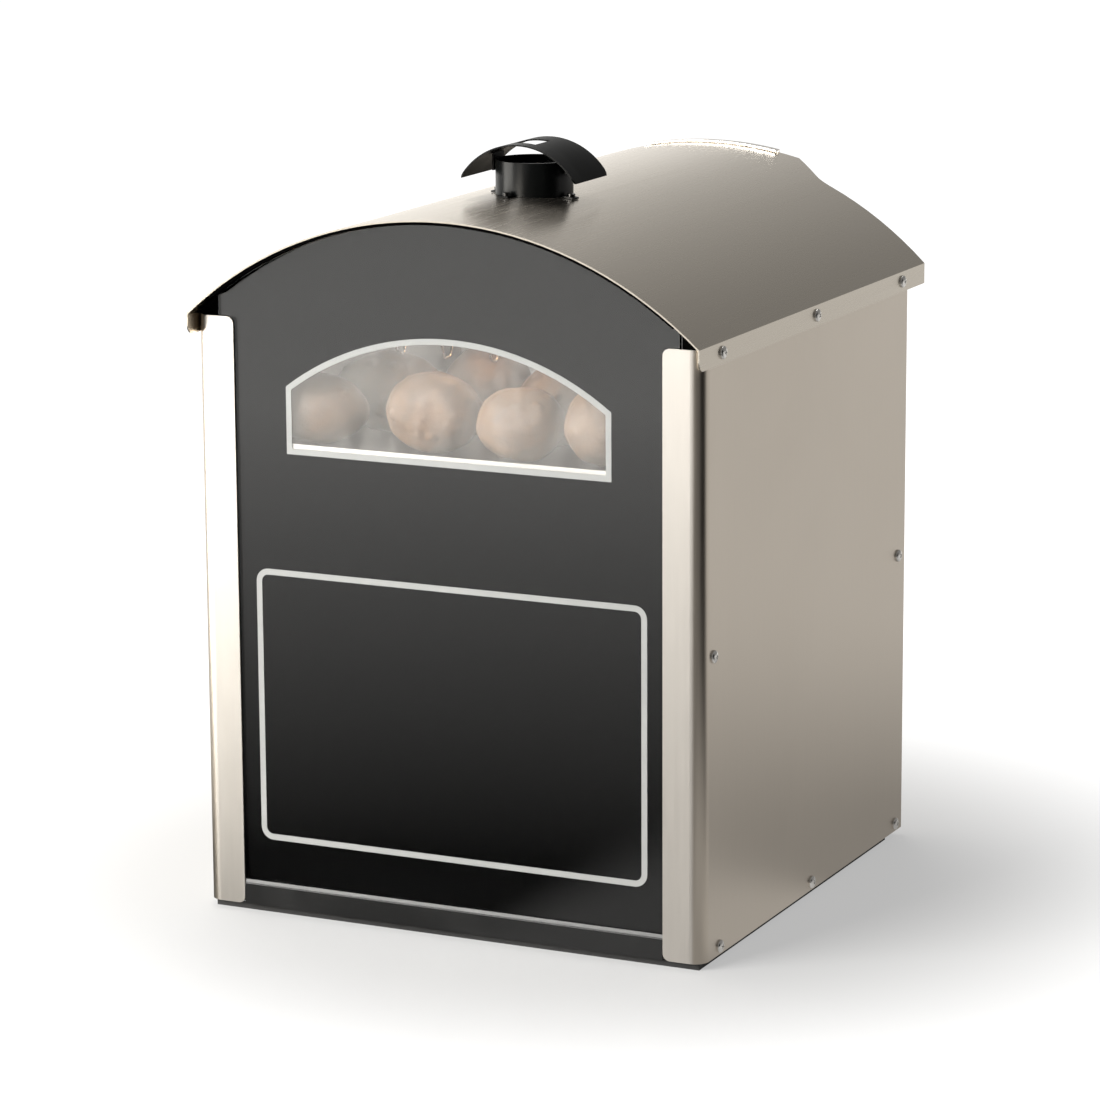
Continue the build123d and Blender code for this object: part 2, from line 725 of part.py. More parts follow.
# ---------------------------------------------------------------- display compartment
# Folded liner: the deck with a bright front lip, and a wall up each side.
with BuildPart() as display_liner:
    deck_front_y = mask_back_y + 1.0
    notch_y = post_front_y + post_w + 1.0
    notch_x = post_x - post_front_leg - 1.0
    wall_top_z = roof_z(deck_half_w + thin_t, roof_in_r) - 1.0
    block((-deck_half_w, deck_half_w), (notch_y, oven_rear_y), (deck_z - thin_t, deck_z))
    block((-notch_x, notch_x), (deck_front_y, notch_y), (deck_z - thin_t, deck_z))
    block(
        (-notch_x, notch_x),
        (deck_front_y, deck_front_y + thin_t),
        (deck_z, deck_z + deck_lip_h),
    )
    for side in (-1, 1):
        wall = sorted((side * deck_half_w, side * (deck_half_w - thin_t)))
        block(wall, (notch_y, oven_rear_y), (deck_z, wall_top_z))
display_liner.part.label = "display_liner"
export_step(display_liner.part, "parts/display_liner.step")

# Trough reflector with its two hangers up to the roof.
with BuildPart() as lamp_reflector:
    trough_y = (lamp_y - reflector_d / 2, lamp_y + reflector_d / 2)
    trough_x = (lamp_x - reflector_w / 2, lamp_x + reflector_w / 2)
    with BuildSketch(facing_right(trough_x[0])):
        with BuildLine():
            low_z = reflector_top_z - reflector_h
            flat = reflector_d / 4
            Polyline(
                (trough_y[0], low_z),
                (lamp_y - flat, reflector_top_z),
                (lamp_y + flat, reflector_top_z),
                (trough_y[1], low_z),
                (trough_y[1] - thin_t, low_z),
                (lamp_y + flat - thin_t / 2, reflector_top_z - thin_t),
                (lamp_y - flat + thin_t / 2, reflector_top_z - thin_t),
                (trough_y[0] + thin_t, low_z),
                close=True,
            )
        make_face()
    extrude(amount=reflector_w)
    for side in (-1, 1):
        hanger_x = lamp_x + side * (reflector_w / 2 - 12)
        hanger_top = roof_z(abs(hanger_x) + 8, roof_in_r) - gap
        block(
            (hanger_x - 8, hanger_x + 8),
            (lamp_y - sheet_t / 2, lamp_y + sheet_t / 2),
            (reflector_top_z, hanger_top),
        )
lamp_reflector.part.label = "lamp_reflector"
export_step(lamp_reflector.part, "parts/lamp_reflector.step")

with BuildPart() as lamp_holders:
    for side in (-1, 1):
        inner = lamp_x + side * lamp_len / 2
        block(
            sorted((inner, inner + side * holder_w)),
            (lamp_y - 9, lamp_y + 9),
            (lamp_z - 9, reflector_top_z - thin_t),
        )
    fillet(lamp_holders.edges().filter_by(Axis.Z), radius=2)
lamp_holders.part.label = "lamp_holders"
export_step(lamp_holders.part, "parts/lamp_holders.step")

with BuildPart() as lamp_tube:
    ends = (lamp_x - lamp_len / 2, lamp_x + lamp_len / 2)
    rod_x(lamp_r, (ends[0] + 6, ends[1] - 6), lamp_y, lamp_z)
    rod_x(lamp_r * 0.8, ends, lamp_y, lamp_z)
    with Locations((lamp_x, lamp_y, lamp_z + lamp_r)):
        Sphere(1.5)
lamp_tube.part.label = "lamp_tube"
export_step(lamp_tube.part, "parts/lamp_tube.step")

# Wire guard under the lamp: hoops that hang from two long wires.
with BuildPart() as lamp_guard:
    guard_top_z = reflector_top_z - reflector_h - gap - hoop_wire_r
    for hoop in range(-2, 3):
        hoop_x = lamp_x + hoop * hoop_pitch * 0.8
        reach = reflector_d / 2 - hoop_wire_r
        with BuildLine() as hoop_path:
            FilletPolyline(
                (hoop_x, lamp_y - reach, guard_top_z),
                (hoop_x, lamp_y - hoop_depth / 2, hoop_bottom_z),
                (hoop_x, lamp_y + hoop_depth / 2, hoop_bottom_z),
                (hoop_x, lamp_y + reach, guard_top_z),
                radius=3.5,
            )
        with BuildSketch(Plane(hoop_path.line ^ 0)):
            Circle(hoop_wire_r)
        sweep()
    for side in (-1, 1):
        span = (lamp_x - 2 * hoop_pitch * 0.8 - 6, lamp_x + 2 * hoop_pitch * 0.8 + 6)
        rod_x(hoop_wire_r, span, lamp_y + side * reach, guard_top_z)
lamp_guard.part.label = "lamp_guard"
export_step(lamp_guard.part, "parts/lamp_guard.step")

# Baked potatoes on the deck, one of them on top of the others.
potatoes = [  # x, setback, height, half length, half thickness, turn in degrees
    (-135.0, 44.0, 29.0, 42.0, 28.9, 12.0),
    (-30.7, 46.2, 33.1, 44.0, 33.0, -6.0),
    (49.9, 38.6, 30.1, 37.0, 30.0, 12.0),
    (119.9, 47.0, 33.1, 36.0, 33.0, 90.0),
    (-106.1, 112.0, 34.1, 44.0, 34.0, 20.0),
    (-25.0, 132.0, 37.1, 40.0, 37.0, 90.0),
    (46.0, 110.0, 33.1, 36.0, 33.0, -70.0),
    (120.0, 122.0, 33.1, 37.0, 33.0, 15.0),
    (175.3, 69.0, 25.1, 38.0, 25.0, 90.0),
    (-176.0, 98.0, 24.1, 32.0, 24.0, 90.0),
]
with BuildPart() as display_potatoes:
    for x, setback, height, half_len, half_thick, turn in potatoes:
        heading = (cos(radians(turn)), sin(radians(turn)), 0)
        centre = (x, -half_d + setback, deck_z + height)
        with BuildSketch(Plane(centre, x_dir=heading, z_dir=(0, 0, 1))):
            Ellipse(half_len, half_thick)
            Rectangle(
                2 * half_len,
                half_thick,
                align=(Align.CENTER, Align.MIN),
                mode=Mode.INTERSECT,
            )
        revolve(axis=Axis(centre, heading))
display_potatoes.part.label = "display_potatoes"
export_step(display_potatoes.part, "parts/display_potatoes.step")

# ---------------------------------------------------------------- rear face
with BuildPart() as rear_fascia:
    fascia_r = roof_in_r - gap
    fascia_z0 = panel_top_z + gap
    with BuildSketch(facing_front(fascia_rear_y)):
        with Locations((0, roof_centre_z)):
            Circle(fascia_r)
        with Locations((0, fascia_z0)):
            Rectangle(
                2 * pan_half_w,
                roof_apex_z,
                align=(Align.CENTER, Align.MIN),
                mode=Mode.INTERSECT,
            )
        with Locations((0, (oven_bottom_z + oven_top_z) / 2)):
            Rectangle(
                2 * oven_half_w - 2,
                oven_top_z - oven_bottom_z - 2,
                mode=Mode.SUBTRACT,
            )
        with Locations((0, (display_door_z0 + display_door_z1) / 2 + 5)):
            Rectangle(
                door_w - 2 * display_frame_w,
                display_door_z1 - display_door_z0 - 22,
                mode=Mode.SUBTRACT,
            )
    extrude(amount=sheet_t)
    for side in (-1, 1):
        for z in rear_screw_zs:
            if z > fascia_z0:
                span = (fascia_front_y - 1, fascia_rear_y + 1)
                rod_y(
                    rear_screw_shank_r + hole_clear,
                    side * rear_screw_x,
                    span,
                    z,
                    Mode.SUBTRACT,
                )
rear_fascia.part.label = "rear_fascia"
export_step(rear_fascia.part, "parts/rear_fascia.step")

with BuildPart() as control_panel:
    panel_z0 = stand_h + 2
    block((-pan_half_w, pan_half_w), (fascia_front_y, fascia_rear_y), (panel_z0, panel_top_z))
    cut = (fascia_front_y - 1, fascia_rear_y + 1)
    for x in (thermostat_x, timer_x):
        rod_y(5 + gap, x, cut, control_z, Mode.SUBTRACT)
    rod_y(pilot_r - 1 + gap, pilot_x, cut, control_z, Mode.SUBTRACT)
    for x, w, h in (
        (switch_xs[0], switch_w, switch_h),
        (switch_xs[1], switch_w, switch_h),
        (inlet_x, inlet_w, inlet_h),
    ):
        with Locations((x, fascia_rear_y, control_z)):
            Box(w + 2 * gap, 4, h + 2 * gap, mode=Mode.SUBTRACT)
    with Locations((-85, fascia_rear_y, control_z)):
        with GridLocations(9, 1, 7, 1):
            Box(3.5, 4, 44, mode=Mode.SUBTRACT)
    for side in (-1, 1):
        for z in rear_screw_zs:
            if z < panel_top_z:
                rod_y(
                    rear_screw_shank_r + hole_clear,
                    side * rear_screw_x,
                    cut,
                    z,
                    Mode.SUBTRACT,
                )
control_panel.part.label = "control_panel"
export_step(control_panel.part, "parts/control_panel.step")

# ---------------------------------------------------------------- oven compartment
with BuildPart() as oven_liner:
    liner_x = (-oven_half_w, oven_half_w)
    block(liner_x, (oven_front_y, oven_rear_y), (oven_bottom_z, oven_top_z))
    block(
        (liner_x[0] + thin_t, liner_x[1] - thin_t),
        (oven_inner_front_y, oven_rear_y + 1),
        (oven_bottom_z + thin_t, oven_top_z - thin_t),
        Mode.SUBTRACT,
    )
    wall_cut = (oven_front_y - 1, oven_inner_front_y + 1)
    rod_y(shaft_r + 2, 0, wall_cut, fan_z, Mode.SUBTRACT)
    for side in (-1, 1):
        leg_z = fan_z - sqrt(element_r**2 - element_leg_x**2)
        rod_y(element_tube_r + gap, side * element_leg_x, wall_cut, leg_z, Mode.SUBTRACT)
oven_liner.part.label = "oven_liner"
export_step(oven_liner.part, "parts/oven_liner.step")

with BuildPart() as oven_insulation:
    slab_x = oven_half_w + gap + insulation_t
    slab_z = (oven_bottom_z - gap - insulation_t, oven_top_z + gap + insulation_t)
    slab_y = (oven_front_y, oven_rear_y)
    for side in (-1, 1):
        wall = sorted((side * (oven_half_w + gap), side * slab_x))
        block(wall, slab_y, (oven_bottom_z, oven_top_z))
    block((-slab_x, slab_x), slab_y, (slab_z[0], oven_bottom_z - gap))
    block((-slab_x, slab_x), slab_y, (oven_top_z + gap, slab_z[1]))
    front_slab = (slab_front_y, oven_front_y - gap)
    block((-slab_x, slab_x), front_slab, slab_z)
    slab_cut = (slab_front_y - 1, oven_front_y)
    rod_y(shaft_r + 4, 0, slab_cut, fan_z, Mode.SUBTRACT)
    for side in (-1, 1):
        rod_y(element_tube_r + gap, side * element_leg_x, slab_cut, leg_z, Mode.SUBTRACT)
oven_insulation.part.label = "oven_insulation"
export_step(oven_insulation.part, "parts/oven_insulation.step")

# Channels across the cabinet that carry the oven compartment and the deck.
with BuildPart() as bearers:
    for y in bearer_ys:
        for top_z in (slab_z[0] - gap, bearer_top_z):
            bearer_y = (y - bearer_w / 2, y + bearer_w / 2)
            bearer_z = (top_z - bearer_h, top_z)
            block((-pan_half_w, pan_half_w), bearer_y, bearer_z)
            block(
                (-pan_half_w - 1, pan_half_w + 1),
                (bearer_y[0] + sheet_t, bearer_y[1] - sheet_t),
                (top_z - bearer_h - 1, top_z - sheet_t),
                Mode.SUBTRACT,
            )
bearers.part.label = "bearers"
export_step(bearers.part, "parts/bearers.step")

with BuildPart() as heating_element:
    with BuildLine(facing_front(element_y)) as element_path:
        open_deg = 180 / 3.14159265 * element_leg_x / element_r
        CenterArc((0, fan_z), element_r, -90 + open_deg, 360 - 2 * open_deg)
    with BuildSketch(Plane(element_path.line ^ 0)):
        Circle(element_tube_r)
    sweep()
    for end in (element_path.line @ 0, element_path.line @ 1):
        with Locations(end):
            Sphere(element_tube_r)
        rod_y(element_tube_r, end.X, (slab_front_y - 8, element_y), end.Z)
heating_element.part.label = "heating_element"
export_step(heating_element.part, "parts/heating_element.step")

with BuildPart() as fan_motor:
    with Locations((0, plate_back_y - sheet_t / 2, fan_z)):
        Box(motor_plate_w, sheet_t, motor_plate_w)
    rod_y(motor_r, 0, (motor_back_y - motor_len, motor_back_y), fan_z)
    front_rim = fan_motor.edges().filter_by(GeomType.CIRCLE).group_by(Axis.Y)[0]
    fillet(front_rim, radius=4)
    bore = (motor_back_y - motor_len / 2, plate_back_y + 1)
    rod_y(shaft_r + running_gap, 0, bore, fan_z, Mode.SUBTRACT)
fan_motor.part.label = "fan_motor"
export_step(fan_motor.part, "parts/fan_motor.step")

with BuildPart() as fan_shaft:
    wheel_back_y = element_y + fan_depth / 2
    rod_y(shaft_r, 0, (motor_back_y - motor_len / 2 + 2, wheel_back_y), fan_z)
fan_shaft.part.label = "fan_shaft"
export_step(fan_shaft.part, "parts/fan_shaft.step")

with BuildPart() as fan_wheel:
    wheel_front_y = element_y - fan_depth / 2
    rod_y(fan_r, 0, (wheel_back_y - sheet_t, wheel_back_y), fan_z)
    rod_y(shaft_r + 6, 0, (wheel_front_y, wheel_back_y), fan_z)
    with Locations(facing_front(element_y, fan_z)):
        with PolarLocations(fan_r - 16, fan_blades):
            Box(30, sheet_t, fan_depth)
    rod_y(shaft_r + 0.02, 0, (wheel_front_y - 1, wheel_back_y + 1), fan_z, Mode.SUBTRACT)
fan_wheel.part.label = "fan_wheel"
export_step(fan_wheel.part, "parts/fan_wheel.step")

# Perforated baffle that stands off the front wall and guards the fan.
with BuildPart() as fan_baffle:
    baffle_x = (-baffle_w / 2, baffle_w / 2)
    baffle_z = (fan_z - baffle_h / 2, fan_z + baffle_h / 2)
    block(baffle_x, (baffle_y, baffle_y + thin_t), baffle_z)
    with Locations(facing_front(baffle_y, fan_z)):
        for ring_r, holes in ((0.1, 1), (16, 6), (32, 12), (48, 18)):
            with PolarLocations(ring_r, holes):
                Cylinder(5, 4, mode=Mode.SUBTRACT)
    for side in (-1, 1):
        for z in (baffle_z[0] + 10, baffle_z[1] - 10):
            rod_y(5, side * (baffle_w / 2 - 12), (oven_inner_front_y, baffle_y), z)
fan_baffle.part.label = "fan_baffle"
export_step(fan_baffle.part, "parts/fan_baffle.step")

with BuildPart() as rack_runners:
    runner_y = (baffle_y + 8, oven_rear_y - 6)
    for side in (-1, 1):
        outer = oven_half_w - thin_t - gap
        block(
            sorted((side * outer, side * (outer - runner_t))),
            runner_y,
            (rack_tops[0] - 15, rack_tops[-1] + 15),
        )
        for top_z in rack_tops:
            block(
                sorted((side * (outer - runner_t), side * (outer - runner_t - runner_ledge))),
                runner_y,
                (top_z - runner_t, top_z),
            )
rack_runners.part.label = "rack_runners"
export_step(rack_runners.part, "parts/rack_runners.step")

with BuildPart() as oven_racks:
    rack_x = rack_half_w - rack_frame_r
    for top_z in rack_tops:
        rack_z = top_z + rack_frame_r + 0.1
        with BuildLine(level(rack_z)) as rack_path:
            FilletPolyline(
                (rack_x, rack_front_y + rack_frame_r),
                (rack_x, rack_rear_y - rack_frame_r),
                (-rack_x, rack_rear_y - rack_frame_r),
                (-rack_x, rack_front_y + rack_frame_r),
                radius=12,
                close=True,
            )
        with BuildSketch(Plane(rack_path.line ^ 0)):
            Circle(rack_frame_r)
        sweep()
        wires = int(2 * (rack_x - 16) / rack_pitch) + 1
        for wire in range(wires):
            wire_x = (wire - (wires - 1) / 2) * rack_pitch
            wire_y = (rack_front_y + rack_frame_r, rack_rear_y - rack_frame_r)
            rod_y(rack_wire_r, wire_x, wire_y, rack_z)
        middle_y = (rack_front_y + rack_rear_y) / 2
        rod_x(rack_frame_r * 0.7, (-rack_x, rack_x), middle_y, rack_z)
oven_racks.part.label = "oven_racks"
export_step(oven_racks.part, "parts/oven_racks.step")

with BuildPart() as crumb_tray:
    tray_z = (oven_bottom_z + thin_t + gap, oven_bottom_z + thin_t + gap + tray_h)
    tray_x = (-tray_w / 2, tray_w / 2)
    tray_y = (baffle_y + 8, oven_rear_y - 8)
    block(tray_x, tray_y, tray_z)
    block(
        (tray_x[0] + thin_t, tray_x[1] - thin_t),
        (tray_y[0] + thin_t, tray_y[1] - thin_t),
        (tray_z[0] + thin_t, tray_z[1] + 1),
        Mode.SUBTRACT,
    )
crumb_tray.part.label = "crumb_tray"
export_step(crumb_tray.part, "parts/crumb_tray.step")

with BuildPart() as thermostat_bulb:
    rod_y(bulb_r, bulb_x, (-60, 60), bulb_z)
    for y in (-45, 45):
        block(
            (bulb_x - 1, oven_half_w - thin_t - gap),
            (y - 4, y + 4),
            (bulb_z - bulb_r - 1, bulb_z + bulb_r + 1),
        )
    rod_y(bulb_r, bulb_x, (-60, 60), bulb_z)
thermostat_bulb.part.label = "thermostat_bulb"
export_step(thermostat_bulb.part, "parts/thermostat_bulb.step")

# ---------------------------------------------------------------- oven door
door_x = (-door_w / 2, door_w / 2)
oven_door_rear_y = door_y + oven_door_t
bush_r = hinge_x - door_x[0] - sheet_t - gap
with BuildPart() as oven_door_skin:
    block(door_x, (door_y, oven_door_rear_y), (oven_door_z0, oven_door_z1))
    skin_rims = oven_door_skin.edges().group_by(Axis.Y)[-1]
    fillet(skin_rims, radius=2.5)
    block(
        (door_x[0] + sheet_t, door_x[1] - sheet_t),
        (door_y - 1, oven_door_rear_y - sheet_t),
        (oven_door_z0 + sheet_t, oven_door_z1 - sheet_t),
        Mode.SUBTRACT,
    )
    through = (oven_door_z0 - 1, oven_door_z1 + 1)
    rod_z(pin_r + 0.5, hinge_x, hinge_y, through, Mode.SUBTRACT)
oven_door_skin.part.label = "oven_door_skin"
export_step(oven_door_skin.part, "parts/oven_door_skin.step")

with BuildPart() as oven_door_inner:
    inset = sheet_t + gap
    inner_x_span = (door_x[0] + inset, door_x[1] - inset)
    inner_z_span = (oven_door_z0 + inset, oven_door_z1 - inset)
    block(inner_x_span, (door_y, door_y + thin_t), inner_z_span)
oven_door_inner.part.label = "oven_door_inner"
export_step(oven_door_inner.part, "parts/oven_door_inner.step")

with BuildPart() as oven_door_core:
    core_y = (door_y + thin_t + gap, oven_door_rear_y - sheet_t - gap)
    block(inner_x_span, core_y, inner_z_span)
    notch = 2 * bush_r + 1.5
    for z_span in (
        (oven_door_z0, oven_door_z0 + sheet_t + pin_reach + 3.5),
        (oven_door_z1 - sheet_t - pin_reach - 3.5, oven_door_z1),
    ):
        block(
            (door_x[0], hinge_x + notch / 2),
            (hinge_y - notch / 2, hinge_y + notch / 2),
            z_span,
            Mode.SUBTRACT,
        )
oven_door_core.part.label = "oven_door_core"
export_step(oven_door_core.part, "parts/oven_door_core.step")

with BuildPart() as oven_door_bushes:
    for z_span in (
        (oven_door_z0 + sheet_t, oven_door_z0 + sheet_t + pin_reach + 3),
        (oven_door_z1 - sheet_t - pin_reach - 3, oven_door_z1 - sheet_t),
    ):
        rod_z(bush_r, hinge_x, hinge_y, z_span)
    for z_span in (
        (oven_door_z0, oven_door_z0 + pin_reach + 0.5),
        (oven_door_z1 - pin_reach - 0.5, oven_door_z1),
    ):
        rod_z(pin_r + pin_gap, hinge_x, hinge_y, z_span, Mode.SUBTRACT)
oven_door_bushes.part.label = "oven_door_bushes"
export_step(oven_door_bushes.part, "parts/oven_door_bushes.step")

with BuildPart() as oven_door_seal:
    seal_z = (oven_bottom_z - 9, oven_top_z + 9)
    seal_y = (fascia_rear_y + gap, door_y)
    block((-seal_half_w, seal_half_w), seal_y, seal_z)
    fillet(oven_door_seal.edges().filter_by(Axis.Y), radius=10)
    block(
        (-seal_half_w + seal_w, seal_half_w - seal_w),
        (seal_y[0] - 1, seal_y[1] + 1),
        (seal_z[0] + seal_w, seal_z[1] - seal_w),
        Mode.SUBTRACT,
    )
oven_door_seal.part.label = "oven_door_seal"
export_step(oven_door_seal.part, "parts/oven_door_seal.step")

with BuildPart() as oven_door_handle:
    middle_z = (oven_door_z0 + oven_door_z1) / 2
    bar_y = oven_door_rear_y + handle_stand
    bar_z = (middle_z - oven_handle_len / 2, middle_z + oven_handle_len / 2)
    rod_z(handle_r, handle_x, bar_y, bar_z)
    bar_rims = oven_door_handle.edges().filter_by(GeomType.CIRCLE)
    fillet(bar_rims, radius=3)
    for z in (bar_z[0] + 14, bar_z[1] - 14):
        rod_y(handle_post_r, handle_x, (oven_door_rear_y, bar_y), z)
oven_door_handle.part.label = "oven_door_handle"
export_step(oven_door_handle.part, "parts/oven_door_handle.step")

# ---------------------------------------------------------------- display door
display_rear_y = door_y + display_door_t
display_mid_z = (display_door_z0 + display_door_z1) / 2
with BuildPart() as display_door_frame:
    frame_h = display_door_z1 - display_door_z0
    block(door_x, (door_y, display_rear_y), (display_door_z0, display_door_z1))
    frame_rims = display_door_frame.edges().group_by(Axis.Y)[-1]
    fillet(frame_rims, radius=2)
    with Locations((0, (door_y + display_rear_y) / 2, display_mid_z)):
        Box(
            door_w - 2 * display_frame_w,
            display_door_t + 2,
            frame_h - 2 * display_frame_w,
            mode=Mode.SUBTRACT,
        )
    pane_y = (door_y + 4, door_y + 4 + pane_t)
    with Locations((0, (pane_y[0] + pane_y[1]) / 2, display_mid_z)):
        Box(
            door_w - 2 * display_frame_w + 12 + 2 * gap,
            pane_t + 2 * gap,
            frame_h - 2 * display_frame_w + 12 + 2 * gap,
            mode=Mode.SUBTRACT,
        )
    for z_span in (
        (display_door_z0 - 1, display_door_z0 + pin_reach + 0.5),
        (display_door_z1 - pin_reach - 0.5, display_door_z1 + 1),
    ):
        rod_z(pin_r + pin_gap, hinge_x, hinge_y, z_span, Mode.SUBTRACT)
display_door_frame.part.label = "display_door_frame"
export_step(display_door_frame.part, "parts/display_door_frame.step")

with BuildPart() as display_door_glass:
    with Locations((0, (pane_y[0] + pane_y[1]) / 2, display_mid_z)):
        Box(door_w - 2 * display_frame_w + 12, pane_t, frame_h - 2 * display_frame_w + 12)
display_door_glass.part.label = "display_door_glass"
export_step(display_door_glass.part, "parts/display_door_glass.step")

with BuildPart() as display_door_handle:
    stile_x = door_x[1] - display_frame_w / 2
    pull_y = display_rear_y + handle_stand - 6
    pull_z = (display_mid_z - display_handle_len / 2, display_mid_z + display_handle_len / 2)
    rod_z(handle_r - 1, stile_x, pull_y, pull_z)
    pull_rims = display_door_handle.edges().filter_by(GeomType.CIRCLE)
    fillet(pull_rims, radius=2.5)
    for z in (pull_z[0] + 12, pull_z[1] - 12):
        rod_y(handle_post_r - 1, stile_x, (display_rear_y, pull_y), z)
display_door_handle.part.label = "display_door_handle"
export_step(display_door_handle.part, "parts/display_door_handle.step")

# ---------------------------------------------------------------- hinges and catches
ear_spans = (
    (oven_door_z0 - ear_gap - ear_t, oven_door_z0 - ear_gap),
    (oven_door_z1 + ear_gap, display_door_z0 - ear_gap),
    (display_door_z1 + ear_gap, display_door_z1 + ear_gap + ear_t),
)
with BuildPart() as hinge_brackets:
    for z_span in ear_spans:
        block(
            (hinge_x - ear_w / 2, hinge_x + ear_w / 2),
            (fascia_rear_y, hinge_y),
            z_span,
        )
        rod_z(ear_w / 2, hinge_x, hinge_y, z_span)
        rod_z(pin_r + pin_gap, hinge_x, hinge_y, z_span, Mode.SUBTRACT)
hinge_brackets.part.label = "hinge_brackets"
export_step(hinge_brackets.part, "parts/hinge_brackets.step")

with BuildPart() as hinge_pins:
    for z_span in (
        (ear_spans[0][0], oven_door_z0 + pin_reach),
        (oven_door_z1 - pin_reach, display_door_z0 + pin_reach),
        (display_door_z1 - pin_reach, ear_spans[2][1]),
    ):
        rod_z(pin_r, hinge_x, hinge_y, z_span)
hinge_pins.part.label = "hinge_pins"
export_step(hinge_pins.part, "parts/hinge_pins.step")

with BuildPart() as door_catches:
    catch_y = (fascia_rear_y, door_y - gap)
    block((catch_x - 3.5, catch_x + 3.5), catch_y, (middle_z - 15, middle_z + 15))
    block((catch_x - 3.5, catch_x + 3.5), catch_y, (display_mid_z - 12, display_mid_z + 12))
door_catches.part.label = "door_catches"
export_step(door_catches.part, "parts/door_catches.step")

# ---------------------------------------------------------------- controls
body_back_y = fascia_front_y - gap
knob_y = fascia_rear_y + knob_lift
with BuildPart() as thermostat_body:
    body_y = (body_back_y - control_body_len, body_back_y)
    rod_y(control_body_r, thermostat_x, body_y, control_z)
    rod_y(5, thermostat_x, (body_back_y, fascia_rear_y + 1.2), control_z)
    bore = (body_y[0] + 8, fascia_rear_y + 3)
    rod_y(knob_shaft_r + running_gap, thermostat_x, bore, control_z, Mode.SUBTRACT)
thermostat_body.part.label = "thermostat_body"
export_step(thermostat_body.part, "parts/thermostat_body.step")

with BuildPart() as thermostat_knob:
    rod_y(knob_r, thermostat_x, (knob_y, knob_y + 5), control_z)
    rod_y(knob_r * 0.8, thermostat_x, (knob_y, knob_y + knob_h - 4), control_z)
    knob_edges = thermostat_knob.edges().filter_by(GeomType.CIRCLE).group_by(Axis.Y)
    fillet(knob_edges[-1], radius=2)
    with Locations((thermostat_x, knob_y + knob_h / 2, control_z)):
        Box(7, knob_h, 1.7 * knob_r)
    rod_y(knob_shaft_r, thermostat_x, (body_y[0] + 10, knob_y + 2), control_z)
thermostat_knob.part.label = "thermostat_knob"
export_step(thermostat_knob.part, "parts/thermostat_knob.step")

with BuildPart() as timer_body:
    body_y = (body_back_y - control_body_len, body_back_y)
    rod_y(control_body_r + 1, timer_x, body_y, control_z)
    rod_y(5, timer_x, (body_back_y, fascia_rear_y + 1.2), control_z)
    bore = (body_y[0] + 8, fascia_rear_y + 3)
    rod_y(knob_shaft_r + running_gap, timer_x, bore, control_z, Mode.SUBTRACT)
timer_body.part.label = "timer_body"
export_step(timer_body.part, "parts/timer_body.step")

with BuildPart() as timer_knob:
    rod_y(knob_r, timer_x, (knob_y, knob_y + 5), control_z)
    rod_y(knob_r * 0.8, timer_x, (knob_y, knob_y + knob_h - 4), control_z)
    knob_edges = timer_knob.edges().filter_by(GeomType.CIRCLE).group_by(Axis.Y)
    fillet(knob_edges[-1], radius=2)
    with Locations((timer_x, knob_y + knob_h / 2, control_z)):
        Box(7, knob_h, 1.7 * knob_r)
    rod_y(knob_shaft_r, timer_x, (body_y[0] + 10, knob_y + 2), control_z)
timer_knob.part.label = "timer_knob"
export_step(timer_knob.part, "parts/timer_knob.step")

# Rocker switches: each rocker turns about an axle that lies along X.
pivot_y = fascia_rear_y - 4
rocker_r = 11.5
axle_r = 2.0
bezel_y = fascia_rear_y + 2
with BuildPart() as switch_housings:
    for x in switch_xs:
        body = (fascia_rear_y - switch_depth, fascia_rear_y)
        with Locations((x, (body[0] + body[1]) / 2, control_z)):
            Box(switch_w, switch_depth, switch_h)
        with Locations((x, (fascia_rear_y + bezel_y) / 2, control_z)):
            Box(switch_w + 4, bezel_y - fascia_rear_y, switch_h + 4)
        for dz in (-7, 0, 7):
            with Locations((x, body[0] - 4, control_z + dz)):
                Box(5, 8, 0.8)
        cavity = (x - rocker_w / 2 - gap, x + rocker_w / 2 + gap)
        rod_x(rocker_r + gap, cavity, pivot_y, control_z, Mode.SUBTRACT)
        axle = (x - rocker_w / 2 - 2, x + rocker_w / 2 + 2)
        rod_x(axle_r + running_gap, axle, pivot_y, control_z, Mode.SUBTRACT)
switch_housings.part.label = "switch_housings"
export_step(switch_housings.part, "parts/switch_housings.step")

# Outline of a rocker in its plane, tilted to its resting side.
rocker_outline = []
for across, out in ((-2.5, -12), (-2.5, 12), (8.1, 12), (6.0, 0), (8.1, -12)):
    lean = radians(-rocker_tilt)
    rocker_outline.append(
        (
            pivot_y + across * cos(lean) - out * sin(lean),
            control_z + across * sin(lean) + out * cos(lean),
        )
    )
with BuildPart() as oven_switch_rocker:
    with BuildSketch(facing_right(switch_xs[0] - rocker_w / 2)):
        with Locations((pivot_y, control_z)):
            Circle(rocker_r)
        with BuildLine():
            Polyline(*rocker_outline, close=True)
        make_face(mode=Mode.INTERSECT)
    extrude(amount=rocker_w)
    axle = (switch_xs[0] - rocker_w / 2 - 1.5, switch_xs[0] + rocker_w / 2 + 1.5)
    rod_x(axle_r, axle, pivot_y, control_z)
oven_switch_rocker.part.label = "oven_switch_rocker"
export_step(oven_switch_rocker.part, "parts/oven_switch_rocker.step")

